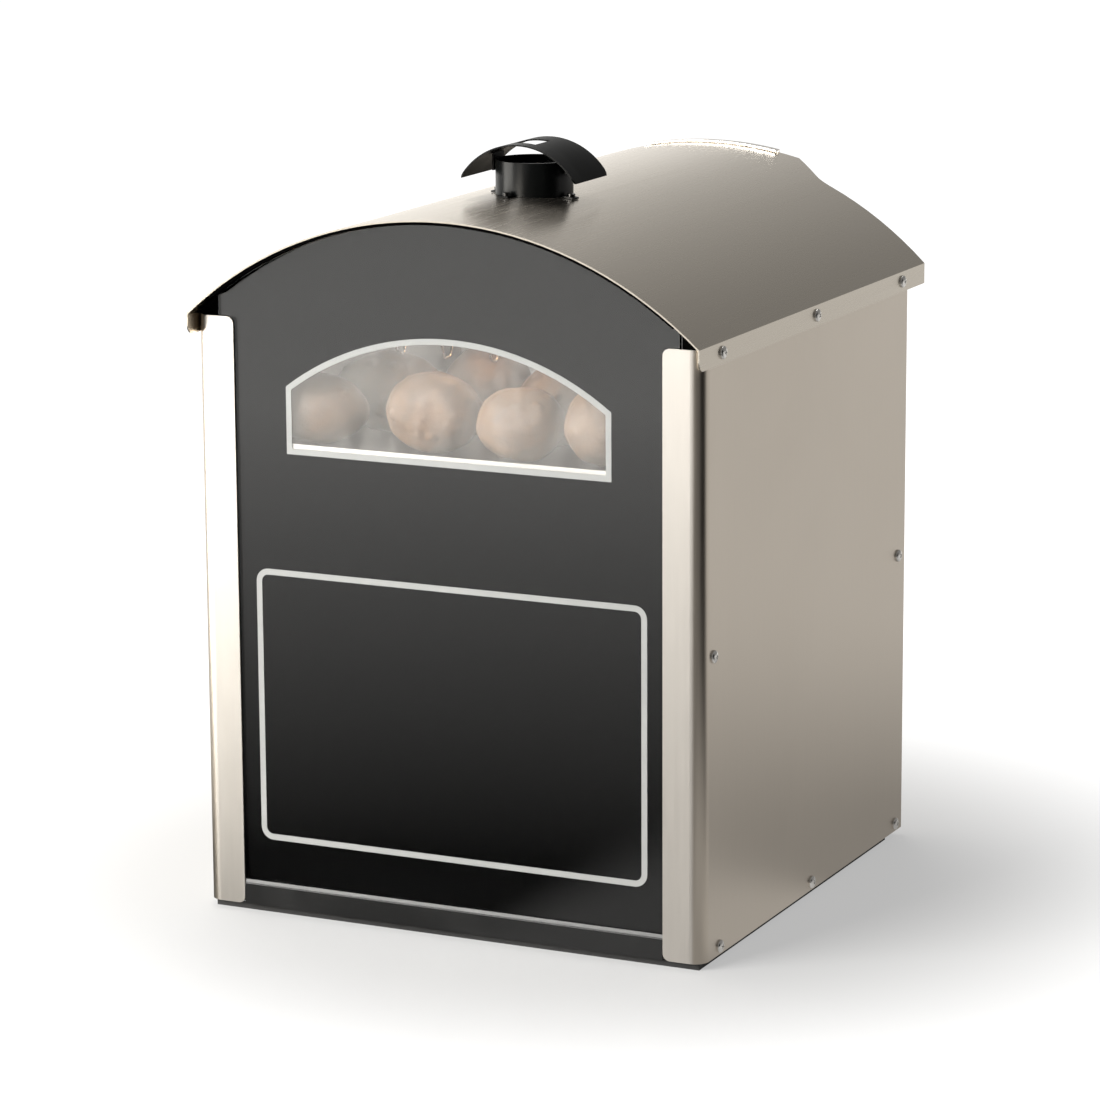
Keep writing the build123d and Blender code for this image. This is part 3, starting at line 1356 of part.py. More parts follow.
with BuildPart() as lamp_switch_rocker:
    with BuildSketch(facing_right(switch_xs[1] - rocker_w / 2)):
        with Locations((pivot_y, control_z)):
            Circle(rocker_r)
        with BuildLine():
            Polyline(*rocker_outline, close=True)
        make_face(mode=Mode.INTERSECT)
    extrude(amount=rocker_w)
    axle = (switch_xs[1] - rocker_w / 2 - 1.5, switch_xs[1] + rocker_w / 2 + 1.5)
    rod_x(axle_r, axle, pivot_y, control_z)
lamp_switch_rocker.part.label = "lamp_switch_rocker"
export_step(lamp_switch_rocker.part, "parts/lamp_switch_rocker.step")

with BuildPart() as pilot_lamp:
    rod_y(pilot_r, pilot_x, (fascia_rear_y, fascia_rear_y + 3.5), control_z)
    lens_rim = pilot_lamp.edges().filter_by(GeomType.CIRCLE).group_by(Axis.Y)[-1]
    fillet(lens_rim, radius=2.5)
    rod_y(pilot_r - 1, pilot_x, (fascia_rear_y - 18, fascia_rear_y), control_z)
pilot_lamp.part.label = "pilot_lamp"
export_step(pilot_lamp.part, "parts/pilot_lamp.step")

with BuildPart() as mains_inlet:
    inlet_y = (fascia_rear_y - inlet_depth, fascia_rear_y)
    with Locations((inlet_x, (inlet_y[0] + inlet_y[1]) / 2, control_z)):
        Box(inlet_w, inlet_depth, inlet_h)
    with Locations((inlet_x, (fascia_rear_y + bezel_y) / 2, control_z)):
        Box(inlet_w + 8, bezel_y - fascia_rear_y, inlet_h + 8)
    with Locations((inlet_x, bezel_y - socket_depth / 2, control_z)):
        Box(socket_w, socket_depth, socket_h, mode=Mode.SUBTRACT)
    for dx, dz in ((-7, -2), (0, 2), (7, -2)):
        with Locations((inlet_x + dx, inlet_y[0], control_z + dz)):
            Box(2.2, inlet_depth, 4.2, mode=Mode.SUBTRACT)
mains_inlet.part.label = "mains_inlet"
export_step(mains_inlet.part, "parts/mains_inlet.step")

with BuildPart() as inlet_pins:
    for dx, dz in ((-7, -2), (0, 2), (7, -2)):
        pin_y = (inlet_y[0] - 7, bezel_y - 5)
        with Locations((inlet_x + dx, (pin_y[0] + pin_y[1]) / 2, control_z + dz)):
            Box(2, pin_y[1] - pin_y[0], 4)
inlet_pins.part.label = "inlet_pins"
export_step(inlet_pins.part, "parts/inlet_pins.step")

with BuildPart() as terminal_block:
    block_z = (pan_z0 + pan_t, pan_z0 + pan_t + 16)
    block_y = (half_d - 90, half_d - 72)
    block((-175, -115), block_y, block_z)
    for terminal in range(5):
        x = -167 + terminal * 11
        middle = (block_y[0] + block_y[1]) / 2
        rod_z(2.5, x, middle, (block_z[1] - 5, block_z[1] + 1), Mode.SUBTRACT)
        rod_y(2, x, (block_y[0] - 1, block_y[1] + 1), sum(block_z) / 2, Mode.SUBTRACT)
terminal_block.part.label = "terminal_block"
export_step(terminal_block.part, "parts/terminal_block.step")

# ---------------------------------------------------------------- chimney
with BuildPart() as chimney_stub:
    for turn in range(4):
        lug_deg = lug_first_deg + 90 * turn
        lug_len = lug_r + lug_w / 2 - (stub_r - stub_t)
        with Locations(Location((0, stub_y, roof_apex_z - 5), (0, 0, lug_deg))):
            with Locations((stub_r - stub_t + lug_len / 2, 0, 0)):
                Box(lug_len, lug_w, 30)
    with Locations((0, stub_y, roof_centre_z)):
        Cylinder(
            roof_r + gap + lug_t, 120, rotation=(90, 0, 0), mode=Mode.INTERSECT
        )
    rod_z(stub_r, 0, stub_y, (roof_apex_z - 10, stub_top_z))
    rod_z(stub_r - stub_t, 0, stub_y, (roof_apex_z - 40, stub_top_z + 1), Mode.SUBTRACT)
    rod_y(roof_r + gap, 0, (stub_y - 60, stub_y + 60), roof_centre_z, Mode.SUBTRACT)
    with Locations(*lug_planes):
        Cylinder(chimney_screw_shank_r + hole_clear, 12, mode=Mode.SUBTRACT)
chimney_stub.part.label = "chimney_stub"
export_step(chimney_stub.part, "parts/chimney_stub.step")

with BuildPart() as chimney_hood:
    for tab_deg in (0, 180):
        tab_low_z = stub_top_z - tab_overlap
        tab_len = hood_apex_z - tab_low_z
        with Locations(Location((0, stub_y, tab_low_z + tab_len / 2), (0, 0, tab_deg))):
            with Locations((stub_r + gap + tab_t / 2, 0, 0)):
                Box(tab_t, tab_w, tab_len)
    rod_y(hood_r - hood_t / 2, 0, (hood_y - 60, hood_y + 60), hood_centre_z, Mode.INTERSECT)
    with BuildSketch(facing_front(hood_y + hood_len / 2)):
        with Locations((0, hood_centre_z)):
            Circle(hood_r)
            Circle(hood_r - hood_t, mode=Mode.SUBTRACT)
        with Locations((0, hood_tip_z)):
            Rectangle(
                hood_w + 2,
                hood_r,
                align=(Align.CENTER, Align.MIN),
                mode=Mode.INTERSECT,
            )
    extrude(amount=hood_len)
    with Locations((0, hood_slot_y, hood_apex_z)):
        Box(hood_slot_w, hood_slot_len, 12, mode=Mode.SUBTRACT)
    with BuildSketch(level(hood_tip_z - 1)):
        with Locations((0, hood_y)):
            RectangleRounded(hood_w - 2 * hood_trim, hood_len, hood_corner_r)
    extrude(amount=hood_apex_z - hood_tip_z + 2, mode=Mode.INTERSECT)
chimney_hood.part.label = "chimney_hood"
export_step(chimney_hood.part, "parts/chimney_hood.step")

with BuildPart() as chimney_screws:
    with Locations(*[plane.offset(chimney_screw_h / 2) for plane in lug_planes]):
        Cylinder(chimney_screw_r, chimney_screw_h)
    with Locations(*[plane.offset(-3) for plane in lug_planes]):
        Cylinder(chimney_screw_shank_r, 6)
chimney_screws.part.label = "chimney_screws"
export_step(chimney_screws.part, "parts/chimney_screws.step")
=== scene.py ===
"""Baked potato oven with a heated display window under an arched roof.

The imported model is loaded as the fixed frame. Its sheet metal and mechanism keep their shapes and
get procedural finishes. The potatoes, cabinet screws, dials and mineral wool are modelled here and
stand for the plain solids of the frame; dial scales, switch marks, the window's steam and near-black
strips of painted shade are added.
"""
import logging
import math
import random
from contextlib import contextmanager
from dataclasses import dataclass, field
from enum import Enum
from typing import Callable, Iterable, Iterator, Optional, Sequence, Union

import bmesh
import bpy
from mathutils import Matrix, Vector


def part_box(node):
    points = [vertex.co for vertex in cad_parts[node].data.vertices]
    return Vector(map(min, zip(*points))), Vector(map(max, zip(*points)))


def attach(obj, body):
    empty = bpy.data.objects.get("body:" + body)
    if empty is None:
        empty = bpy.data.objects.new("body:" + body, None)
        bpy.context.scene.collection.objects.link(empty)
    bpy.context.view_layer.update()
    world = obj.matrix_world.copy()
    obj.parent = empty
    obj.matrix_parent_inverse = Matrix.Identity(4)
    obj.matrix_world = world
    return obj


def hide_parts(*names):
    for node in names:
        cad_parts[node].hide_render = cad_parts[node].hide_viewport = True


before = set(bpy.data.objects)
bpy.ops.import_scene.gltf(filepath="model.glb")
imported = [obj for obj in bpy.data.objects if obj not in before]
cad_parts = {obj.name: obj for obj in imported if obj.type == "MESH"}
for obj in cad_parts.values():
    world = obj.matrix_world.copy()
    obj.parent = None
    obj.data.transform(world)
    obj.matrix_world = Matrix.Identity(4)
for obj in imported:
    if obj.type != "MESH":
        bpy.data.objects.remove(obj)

log = logging.getLogger("potato_oven")

Colour = tuple[float, float, float]
Point = tuple[float, float, float]
Value = Union[float, Sequence[float], bpy.types.NodeSocket]
MM = 0.001


# ---------------------------------------------------------------- node wiring
class Wiring:
    """A node tree that is being wired up.

    Args:
        tree: the tree of a material, a world or a node group.
    """

    def __init__(self, tree: bpy.types.NodeTree) -> None:
        self.tree = tree
        self.column = 0

    def node(self, kind: str, sockets: Optional[dict] = None, **settings) -> bpy.types.Node:
        """Adds a node.

        Args:
            kind: node type without its ShaderNode prefix.
            sockets: input name or number, to a constant or the socket that feeds it.
            settings: properties of the node.
        Returns:
            The new node.
        """
        made = self.tree.nodes.new("ShaderNode" + kind)
        made.location = (self.column * 40, -self.column * 12)
        self.column += 1
        for key, value in settings.items():
            setattr(made, key, value)
        for key, value in (sockets or {}).items():
            self.feed(made.inputs[key], value)
        return made

    def feed(self, socket: bpy.types.NodeSocket, value: Value) -> None:
        """Links a socket or sets its constant.

        Args:
            socket: the input.
            value: another node's output, or a constant.
        """
        if isinstance(value, bpy.types.NodeSocket):
            self.tree.links.new(value, socket)
        elif isinstance(value, (tuple, list)) and socket.type == "RGBA" and len(value) == 3:
            socket.default_value = (*value, 1.0)
        else:
            socket.default_value = value

    def maths(self, operation: str, a: Value, b: Value = 0.0) -> bpy.types.NodeSocket:
        """One Math node's output."""
        return self.node("Math", {0: a, 1: b}, operation=operation).outputs[0]

    def vector(self, operation: str, a: Value, b: Value = (0.0, 0.0, 0.0)) -> bpy.types.Node:
        """One Vector Math node."""
        return self.node("VectorMath", {0: a, 1: b}, operation=operation)

    def spread(self, value: Value, low: float, high: float, to_low: float = 0.0,
               to_high: float = 1.0, smooth: bool = True) -> bpy.types.NodeSocket:
        """Maps a value from one range to another, clamped.

        Args:
            value: what is mapped.
            low: start of its range.
            high: end of its range.
            to_low: result at low.
            to_high: result at high.
            smooth: eases in and out instead of going straight.
        Returns:
            The mapped value.
        """
        kind = "SMOOTHSTEP" if smooth else "LINEAR"
        sockets = {0: value, 1: low, 2: high, 3: to_low, 4: to_high}
        return self.node("MapRange", sockets, interpolation_type=kind).outputs[0]

    def blend(self, share: Value, a: Value, b: Value, how: str = "MIX") -> bpy.types.NodeSocket:
        """Mixes two colours.

        Args:
            share: how much of b.
            a: first colour.
            b: second colour.
            how: blend type.
        Returns:
            The mixed colour.
        """
        sockets = {0: share, 6: a, 7: b}
        return self.node("Mix", sockets, data_type="RGBA", blend_type=how).outputs[2]

    def noise(self, where: Value, scale: float, detail: float = 2.0, rough: float = 0.5,
              twist: float = 0.0) -> bpy.types.NodeSocket:
        """A noise texture's value.

        Args:
            where: coordinates.
            scale: waves to a metre.
            detail: octaves.
            rough: weight of the finer octaves.
            twist: distortion.
        Returns:
            The value, about 0.5 on average.
        """
        sockets = {"Vector": where, "Scale": scale, "Detail": detail, "Roughness": rough,
                   "Distortion": twist}
        return self.node("TexNoise", sockets).outputs[0]

    def place(self) -> bpy.types.NodeSocket:
        """Object coordinates, which are metres in the frame."""
        return self.node("TexCoord").outputs["Object"]

    def group(self, tree: bpy.types.NodeTree, sockets: Optional[dict] = None) -> bpy.types.Node:
        """Places a node group.

        Args:
            tree: the group's tree.
            sockets: its inputs.
        Returns:
            The group node.
        """
        made = self.tree.nodes.new("ShaderNodeGroup")
        made.node_tree = tree
        made.location = (self.column * 40, -self.column * 12)
        self.column += 1
        for key, value in (sockets or {}).items():
            self.feed(made.inputs[key], value)
        return made


def new_group(name: str, inputs: dict[str, str], outputs: dict[str, str]
              ) -> tuple[bpy.types.NodeTree, Wiring, bpy.types.Node, bpy.types.Node]:
    """Starts a shader node group.

    Args:
        name: the group's name.
        inputs: input names, to Float, Vector or Color.
        outputs: output names, in the same way.
    Returns:
        The tree, its wiring, its input node and its output node.
    """
    tree = bpy.data.node_groups.new(name, "ShaderNodeTree")
    for key, kind in inputs.items():
        tree.interface.new_socket(key, in_out="INPUT", socket_type="NodeSocket" + kind)
    for key, kind in outputs.items():
        tree.interface.new_socket(key, in_out="OUTPUT", socket_type="NodeSocket" + kind)
    given = tree.nodes.new("NodeGroupInput")
    result = tree.nodes.new("NodeGroupOutput")
    return tree, Wiring(tree), given, result


class Effects:
    """The node groups that several finishes share, each built once."""

    def __init__(self) -> None:
        self.brushing = self._brushing()
        self.smears = self._smears()
        self.specks = self._specks()
        self.peel = self._peel()

    @staticmethod
    def _brushing() -> bpy.types.NodeTree:
        """Fine parallel scratches of a brushed sheet, with a few longer ones."""
        tree, w, given, result = new_group(
            "brushing", {"Vector": "Vector", "Stretch": "Vector", "Fineness": "Float"},
            {"Streak": "Float", "Scratch": "Float"})
        drawn = w.vector("MULTIPLY", given.outputs["Vector"], given.outputs["Stretch"]).outputs[0]
        fine = w.node("TexNoise", {"Vector": drawn, "Scale": given.outputs["Fineness"],
                                   "Detail": 3.0, "Roughness": 0.65}).outputs[0]
        broad = w.node("TexNoise", {"Vector": drawn, "Scale": w.maths(
            "MULTIPLY", given.outputs["Fineness"], 0.17), "Detail": 2.0}).outputs[0]
        both = w.maths("ADD", w.maths("MULTIPLY", fine, 0.7), w.maths("MULTIPLY", broad, 0.3))
        w.feed(result.inputs["Streak"], w.spread(both, 0.32, 0.68, smooth=False))
        w.feed(result.inputs["Scratch"], w.spread(fine, 0.66, 0.74))
        return tree

    @staticmethod
    def _smears() -> bpy.types.NodeTree:
        """Wiping marks and faint finger smears in broad soft patches."""
        tree, w, given, result = new_group(
            "smears", {"Vector": "Vector", "Scale": "Float"}, {"Mask": "Float", "Film": "Float"})
        wide = w.node("TexNoise", {"Vector": given.outputs["Vector"],
                                   "Scale": given.outputs["Scale"], "Detail": 3.0,
                                   "Roughness": 0.55, "Distortion": 0.8}).outputs[0]
        close = w.node("TexNoise", {"Vector": given.outputs["Vector"], "Scale": w.maths(
            "MULTIPLY", given.outputs["Scale"], 4.3), "Detail": 4.0, "Roughness": 0.6}).outputs[0]
        w.feed(result.inputs["Mask"], w.spread(wide, 0.36, 0.66))
        w.feed(result.inputs["Film"], w.maths(
            "MULTIPLY", w.spread(wide, 0.5, 0.72), w.spread(close, 0.42, 0.7)))
        return tree

    @staticmethod
    def _specks() -> bpy.types.NodeTree:
        """Small scattered grains, as in dust, enamel or moulded plastic."""
        tree, w, given, result = new_group(
            "specks", {"Vector": "Vector", "Scale": "Float", "Amount": "Float"},
            {"Mask": "Float", "Height": "Float"})
        cells = w.node("TexVoronoi", {"Vector": given.outputs["Vector"],
                                      "Scale": given.outputs["Scale"]}).outputs["Distance"]
        bare = w.node("TexNoise", {"Vector": given.outputs["Vector"], "Scale": w.maths(
            "MULTIPLY", given.outputs["Scale"], 0.23), "Detail": 2.0}).outputs[0]
        near = w.node("MapRange", {0: cells, 1: w.maths("MULTIPLY", given.outputs["Amount"], 0.5),
                                   2: 0.0, 3: 0.0, 4: 1.0}).outputs[0]
        w.feed(result.inputs["Mask"], w.maths("MULTIPLY", near, w.spread(bare, 0.45, 0.6)))
        w.feed(result.inputs["Height"], w.spread(cells, 0.0, 0.8, smooth=False))
        return tree

    @staticmethod
    def _peel() -> bpy.types.NodeTree:
        """The shallow waviness of powder coat, gloss paint and glaze."""
        tree, w, given, result = new_group(
            "peel", {"Vector": "Vector", "Scale": "Float"}, {"Height": "Float"})
        low = w.node("TexNoise", {"Vector": given.outputs["Vector"],
                                  "Scale": given.outputs["Scale"], "Detail": 1.0}).outputs[0]
        high = w.node("TexNoise", {"Vector": given.outputs["Vector"], "Scale": w.maths(
            "MULTIPLY", given.outputs["Scale"], 3.1), "Detail": 2.0}).outputs[0]
        w.feed(result.inputs["Height"], w.maths(
            "ADD", w.maths("MULTIPLY", low, 0.7), w.maths("MULTIPLY", high, 0.3)))
        return tree


# ---------------------------------------------------------------- finishes
def new_material(name: str) -> tuple[bpy.types.Material, Wiring, bpy.types.Node]:
    """Starts a material with one Principled shader.

    Args:
        name: the material's name.
    Returns:
        The material, its wiring and the shader.
    """
    material = bpy.data.materials.new(name)
    material.use_nodes = True
    material.node_tree.nodes.clear()
    w = Wiring(material.node_tree)
    shader = w.node("BsdfPrincipled")
    w.node("OutputMaterial", {"Surface": shader.outputs[0]})
    return material, w, shader


def tinted(colour: Colour, share: float) -> Colour:
    """The colour, lighter or darker by a factor."""
    return tuple(min(1.0, c * share) for c in colour)


@dataclass(frozen=True)
class Finish:
    """What every finish has: a name and a way to become a material."""

    name: str

    def build(self, effects: Effects) -> bpy.types.Material:
        """Makes the material. Each finish has its own."""
        raise NotImplementedError


@dataclass(frozen=True)
class PaintedLightZone:
    """The part of a folded sheet ahead of a depth, in metres, with its own colour and roughness; its
    colour step against the rest of the sheet is painted light and shade.
    """

    ahead_of: float
    colour: Colour
    rough: float


@dataclass(frozen=True)
class BrushedSheet(Finish):
    """Brushed or satin metal: streaks in tone and gloss, wiping marks, a few scratches, and a painted
    light and shade colour step where it has a zone.
    """

    colour: Colour = (0.6, 0.57, 0.52)
    rough: float = 0.3
    stretch: Point = (1.0, 1.0, 0.02)
    fineness: float = 900.0
    streak: float = 0.05
    smear: float = 0.06
    relief: float = 0.04
    stain: Optional[Colour] = None
    painted_light_zone: Optional[PaintedLightZone] = None

    def build(self, effects: Effects) -> bpy.types.Material:
        """Makes the metal's material."""
        material, w, shader = new_material(self.name)
        where = w.place()
        share: Value = 0.0
        # Ahead of the zone's depth the sheet takes the zone's colour and roughness; the colour step
        # is painted light and shade.
        other = self.painted_light_zone or PaintedLightZone(0.0, self.colour, self.rough)
        if self.painted_light_zone:
            depth = w.node("SeparateXYZ", {0: where}).outputs[1]
            share = w.spread(depth, other.ahead_of - 0.0004, other.ahead_of + 0.0004, 1.0, 0.0)
        grain = w.group(effects.brushing, {"Vector": where, "Stretch": self.stretch,
                                           "Fineness": self.fineness})
        wiped = w.group(effects.smears, {"Vector": where, "Scale": 5.5})
        low, high = (w.blend(share, tinted(self.colour, k), tinted(other.colour, k))
                     for k in (1 - self.streak, 1 + self.streak))
        tone = w.blend(grain.outputs["Streak"], low, high)
        tone = w.blend(w.maths("MULTIPLY", wiped.outputs["Film"], 0.3), tone, low)
        if self.stain:
            baked = w.spread(w.noise(where, 9.0, 5.0, 0.65, 0.6), 0.42, 0.75, 0.0, 0.8)
            tone = w.blend(baked, tone, self.stain)
        dull = w.spread(grain.outputs["Streak"], 0, 1, self.rough - 0.035, self.rough + 0.035,
                        False)
        dull = w.maths("ADD", dull, w.maths("MULTIPLY", wiped.outputs["Mask"], self.smear))
        if self.painted_light_zone:
            dull = w.maths("ADD", dull, w.maths("MULTIPLY", share, other.rough - self.rough))
        bump = w.node("Bump", {"Strength": self.relief, "Distance": 0.0006,
                               "Height": grain.outputs["Streak"]})
        w.feed(shader.inputs["Base Color"], tone)
        w.feed(shader.inputs["Roughness"], dull)
        w.feed(shader.inputs["Normal"], bump.outputs[0])
        shader.inputs["Metallic"].default_value = 1.0
        return material


@dataclass(frozen=True)
class CastMetal(Finish):
    """Plated, turned or drawn metal of a small part, with tarnish in soft patches."""

    colour: Colour = (0.7, 0.7, 0.7)
    tarnish: Colour = (0.4, 0.38, 0.35)
    rough: float = 0.22
    scale: float = 160.0
    amount: float = 0.35

    def build(self, effects: Effects) -> bpy.types.Material:
        """Makes the metal's material."""
        material, w, shader = new_material(self.name)
        where = w.place()
        patch = w.group(effects.smears, {"Vector": where, "Scale": self.scale * 0.35})
        fine = w.noise(where, self.scale * 9, 2.0, 0.6)
        share = w.maths("MULTIPLY", patch.outputs["Film"], self.amount)
        tone = w.blend(share, self.colour, self.tarnish)
        tone = w.blend(w.spread(fine, 0.3, 0.7, 0.0, 0.12), tone, tinted(self.colour, 0.8))
        dull = w.maths("ADD", w.spread(patch.outputs["Mask"], 0, 1, self.rough - 0.03,
                                       self.rough + 0.09), w.spread(fine, 0.3, 0.7, 0.0, 0.04))
        bump = w.node("Bump", {"Strength": 0.06, "Distance": 0.0003, "Height": fine})
        w.feed(shader.inputs["Base Color"], tone)
        w.feed(shader.inputs["Roughness"], dull)
        w.feed(shader.inputs["Normal"], bump.outputs[0])
        shader.inputs["Metallic"].default_value = 1.0
        return material


@dataclass(frozen=True)
class Paint(Finish):
    """Powder coat or enamel: peel, a little dust, and flecks where it is speckled."""

    colour: Colour = (0.02, 0.02, 0.02)
    fleck: Colour = (0.08, 0.08, 0.08)
    rough: float = 0.35
    scale: float = 420.0
    relief: float = 0.18
    flecks: float = 0.3
    coat: float = 0.0
    gloss: float = 0.5

    def build(self, effects: Effects) -> bpy.types.Material:
        """Makes the paint's material."""
        material, w, shader = new_material(self.name)
        where = w.place()
        skin = w.group(effects.peel, {"Vector": where, "Scale": self.scale})
        grains = w.group(effects.specks, {"Vector": where, "Scale": self.scale * 1.6,
                                          "Amount": 0.5})
        wiped = w.group(effects.smears, {"Vector": where, "Scale": 9.0})
        tone = w.blend(w.maths("MULTIPLY", grains.outputs["Mask"], self.flecks), self.colour,
                       self.fleck)
        tone = w.blend(w.maths("MULTIPLY", wiped.outputs["Film"], 0.25), tone, self.fleck)
        dull = w.spread(wiped.outputs["Mask"], 0, 1, self.rough, self.rough + 0.1)
        bump = w.node("Bump", {"Strength": self.relief, "Distance": 0.0004,
                               "Height": skin.outputs["Height"]})
        w.feed(shader.inputs["Base Color"], tone)
        w.feed(shader.inputs["Roughness"], dull)
        w.feed(shader.inputs["Normal"], bump.outputs[0])
        shader.inputs["Coat Weight"].default_value = self.coat
        shader.inputs["Coat Roughness"].default_value = 0.08
        shader.inputs["Specular IOR Level"].default_value = self.gloss
        return material


@dataclass(frozen=True)
class Moulded(Finish):
    """Moulded plastic, rubber or ceramic with its fine spark texture."""

    colour: Colour = (0.04, 0.04, 0.04)
    worn: Colour = (0.09, 0.09, 0.09)
    rough: float = 0.4
    scale: float = 1400.0
    relief: float = 0.12
    through: float = 0.0
    glow: Optional[Colour] = None
    glow_strength: float = 0.0

    def build(self, effects: Effects) -> bpy.types.Material:
        """Makes the plastic's material."""
        material, w, shader = new_material(self.name)
        where = w.place()
        spark = w.group(effects.specks, {"Vector": where, "Scale": self.scale, "Amount": 0.8})
        wiped = w.group(effects.smears, {"Vector": where, "Scale": 26.0})
        tone = w.blend(w.maths("MULTIPLY", wiped.outputs["Film"], 0.4), self.colour, self.worn)
        tone = w.blend(w.spread(w.noise(where, 70.0, 3.0), 0.3, 0.7, 0.0, 0.16), tone, self.worn)
        dull = w.spread(wiped.outputs["Mask"], 0, 1, self.rough - 0.04, self.rough + 0.1)
        bump = w.node("Bump", {"Strength": self.relief, "Distance": 0.0002,
                               "Height": spark.outputs["Height"]})
        w.feed(shader.inputs["Base Color"], tone)
        w.feed(shader.inputs["Roughness"], dull)
        w.feed(shader.inputs["Normal"], bump.outputs[0])
        shader.inputs["Subsurface Weight"].default_value = self.through
        shader.inputs["Subsurface Radius"].default_value = (0.004, 0.003, 0.002)
        if self.glow:
            lit = w.blend(w.spread(w.noise(where, 120.0, 2.0), 0.3, 0.7), self.glow,
                          tinted(self.glow, 0.7))
            w.feed(shader.inputs["Emission Color"], lit)
            shader.inputs["Emission Strength"].default_value = self.glow_strength
        return material


@dataclass(frozen=True)
class Glass(Finish):
    """Clear toughened glass, faintly green, its tone varying a little at random. Shadow light passes
    it.
    """

    colour: Colour = (0.988, 0.992, 0.988)
    rough: float = 0.0

    def build(self, effects: Effects) -> bpy.types.Material:
        """Makes the glass's material."""
        material, w, shader = new_material(self.name)
        where = w.place()
        tone = w.blend(w.spread(w.noise(where, 3.0, 1.0), 0.3, 0.7), self.colour,
                       tinted(self.colour, 0.99))
        w.feed(shader.inputs["Base Color"], tone)
        shader.inputs["Roughness"].default_value = self.rough
        shader.inputs["IOR"].default_value = 1.5
        shader.inputs["Transmission Weight"].default_value = 1.0
        output = next(n for n in material.node_tree.nodes if n.type == "OUTPUT_MATERIAL")
        clear = w.node("BsdfTransparent", {"Color": self.colour})
        path = w.node("LightPath")
        both = w.node("MixShader", {0: path.outputs["Is Shadow Ray"], 1: shader.outputs[0],
                                    2: clear.outputs[0]})
        w.feed(output.inputs["Surface"], both.outputs[0])
        return material


@dataclass(frozen=True)
class Print(Finish):
    """Fired print on the back of the glass."""

    colour: Colour = (0.004, 0.004, 0.004)
    flake: Colour = (0.01, 0.01, 0.01)
    rough: float = 0.25
    gloss: float = 0.5
    metal: float = 0.0

    def build(self, effects: Effects) -> bpy.types.Material:
        """Makes the print's material."""
        material, w, shader = new_material(self.name)
        where = w.place()
        grains = w.group(effects.specks, {"Vector": where, "Scale": 2600.0, "Amount": 0.9})
        wash = w.noise(where, 16.0, 3.0)
        share = w.maths("MULTIPLY", grains.outputs["Mask"], w.spread(wash, 0.3, 0.7, 0.3, 0.8))
        w.feed(shader.inputs["Base Color"], w.blend(share, self.colour, self.flake))
        w.feed(shader.inputs["Roughness"], w.spread(wash, 0.3, 0.7, self.rough,
                                                    self.rough + 0.02))
        shader.inputs["Specular IOR Level"].default_value = self.gloss
        shader.inputs["Metallic"].default_value = self.metal
        return material


@dataclass(frozen=True)
class Haze(Finish):
    """Steam on the inside of a warm window: a veil, uneven and a little streaked."""

    colour: Colour = (0.80, 0.76, 0.72)
    thin: float = 0.04
    thick: float = 0.08

    def build(self, effects: Effects) -> bpy.types.Material:
        """Makes the haze's material."""
        material, w, shader = new_material(self.name)
        where = w.place()
        cloud = w.noise(where, 14.0, 3.0, 0.55, 0.4)
        drawn = w.vector("MULTIPLY", where, (1.0, 1.0, 0.3)).outputs[0]
        runs = w.noise(drawn, 60.0, 2.0)
        veil = w.maths("ADD", w.spread(cloud, 0.3, 0.7, self.thin, self.thick),
                       w.spread(runs, 0.35, 0.65, -0.012, 0.012))
        w.feed(shader.inputs["Base Color"], w.blend(cloud, self.colour,
                                                    tinted(self.colour, 0.94)))
        w.feed(shader.inputs["Roughness"], w.spread(cloud, 0.3, 0.7, 0.7, 0.85))
        w.feed(shader.inputs["Alpha"], veil)
        shader.inputs["Specular IOR Level"].default_value = 0.1
        return material


@dataclass(frozen=True)
class Skin(Finish):
    """Baked potato skin: russet patches, pores and fine wrinkles."""

    pale: Colour = (0.135, 0.077, 0.041)
    dark: Colour = (0.072, 0.039, 0.022)

    def build(self, effects: Effects) -> bpy.types.Material:
        """Makes the skin's material."""
        material, w, shader = new_material(self.name)
        where = w.place()
        patches = w.noise(where, 34.0, 5.0, 0.6, 0.5)
        wrinkles = w.noise(where, 260.0, 5.0, 0.7, 0.7)
        pores = w.group(effects.specks, {"Vector": where, "Scale": 330.0, "Amount": 0.42})
        tone = w.blend(w.spread(patches, 0.32, 0.68), self.dark, self.pale)
        tone = w.blend(w.spread(wrinkles, 0.3, 0.75, 0.0, 0.5), tone, tinted(self.pale, 1.25))
        tone = w.blend(w.maths("MULTIPLY", pores.outputs["Mask"], 0.75), tone,
                       tinted(self.dark, 0.45))
        rise = w.maths("SUBTRACT", wrinkles, w.maths("MULTIPLY", pores.outputs["Mask"], 0.5))
        bump = w.node("Bump", {"Strength": 0.35, "Distance": 0.0012, "Height": rise})
        w.feed(shader.inputs["Base Color"], tone)
        w.feed(shader.inputs["Roughness"], w.spread(patches, 0.3, 0.7, 0.42, 0.62))
        w.feed(shader.inputs["Normal"], bump.outputs[0])
        shader.inputs["Subsurface Weight"].default_value = 0.06
        shader.inputs["Subsurface Radius"].default_value = (0.006, 0.003, 0.0015)
        return material


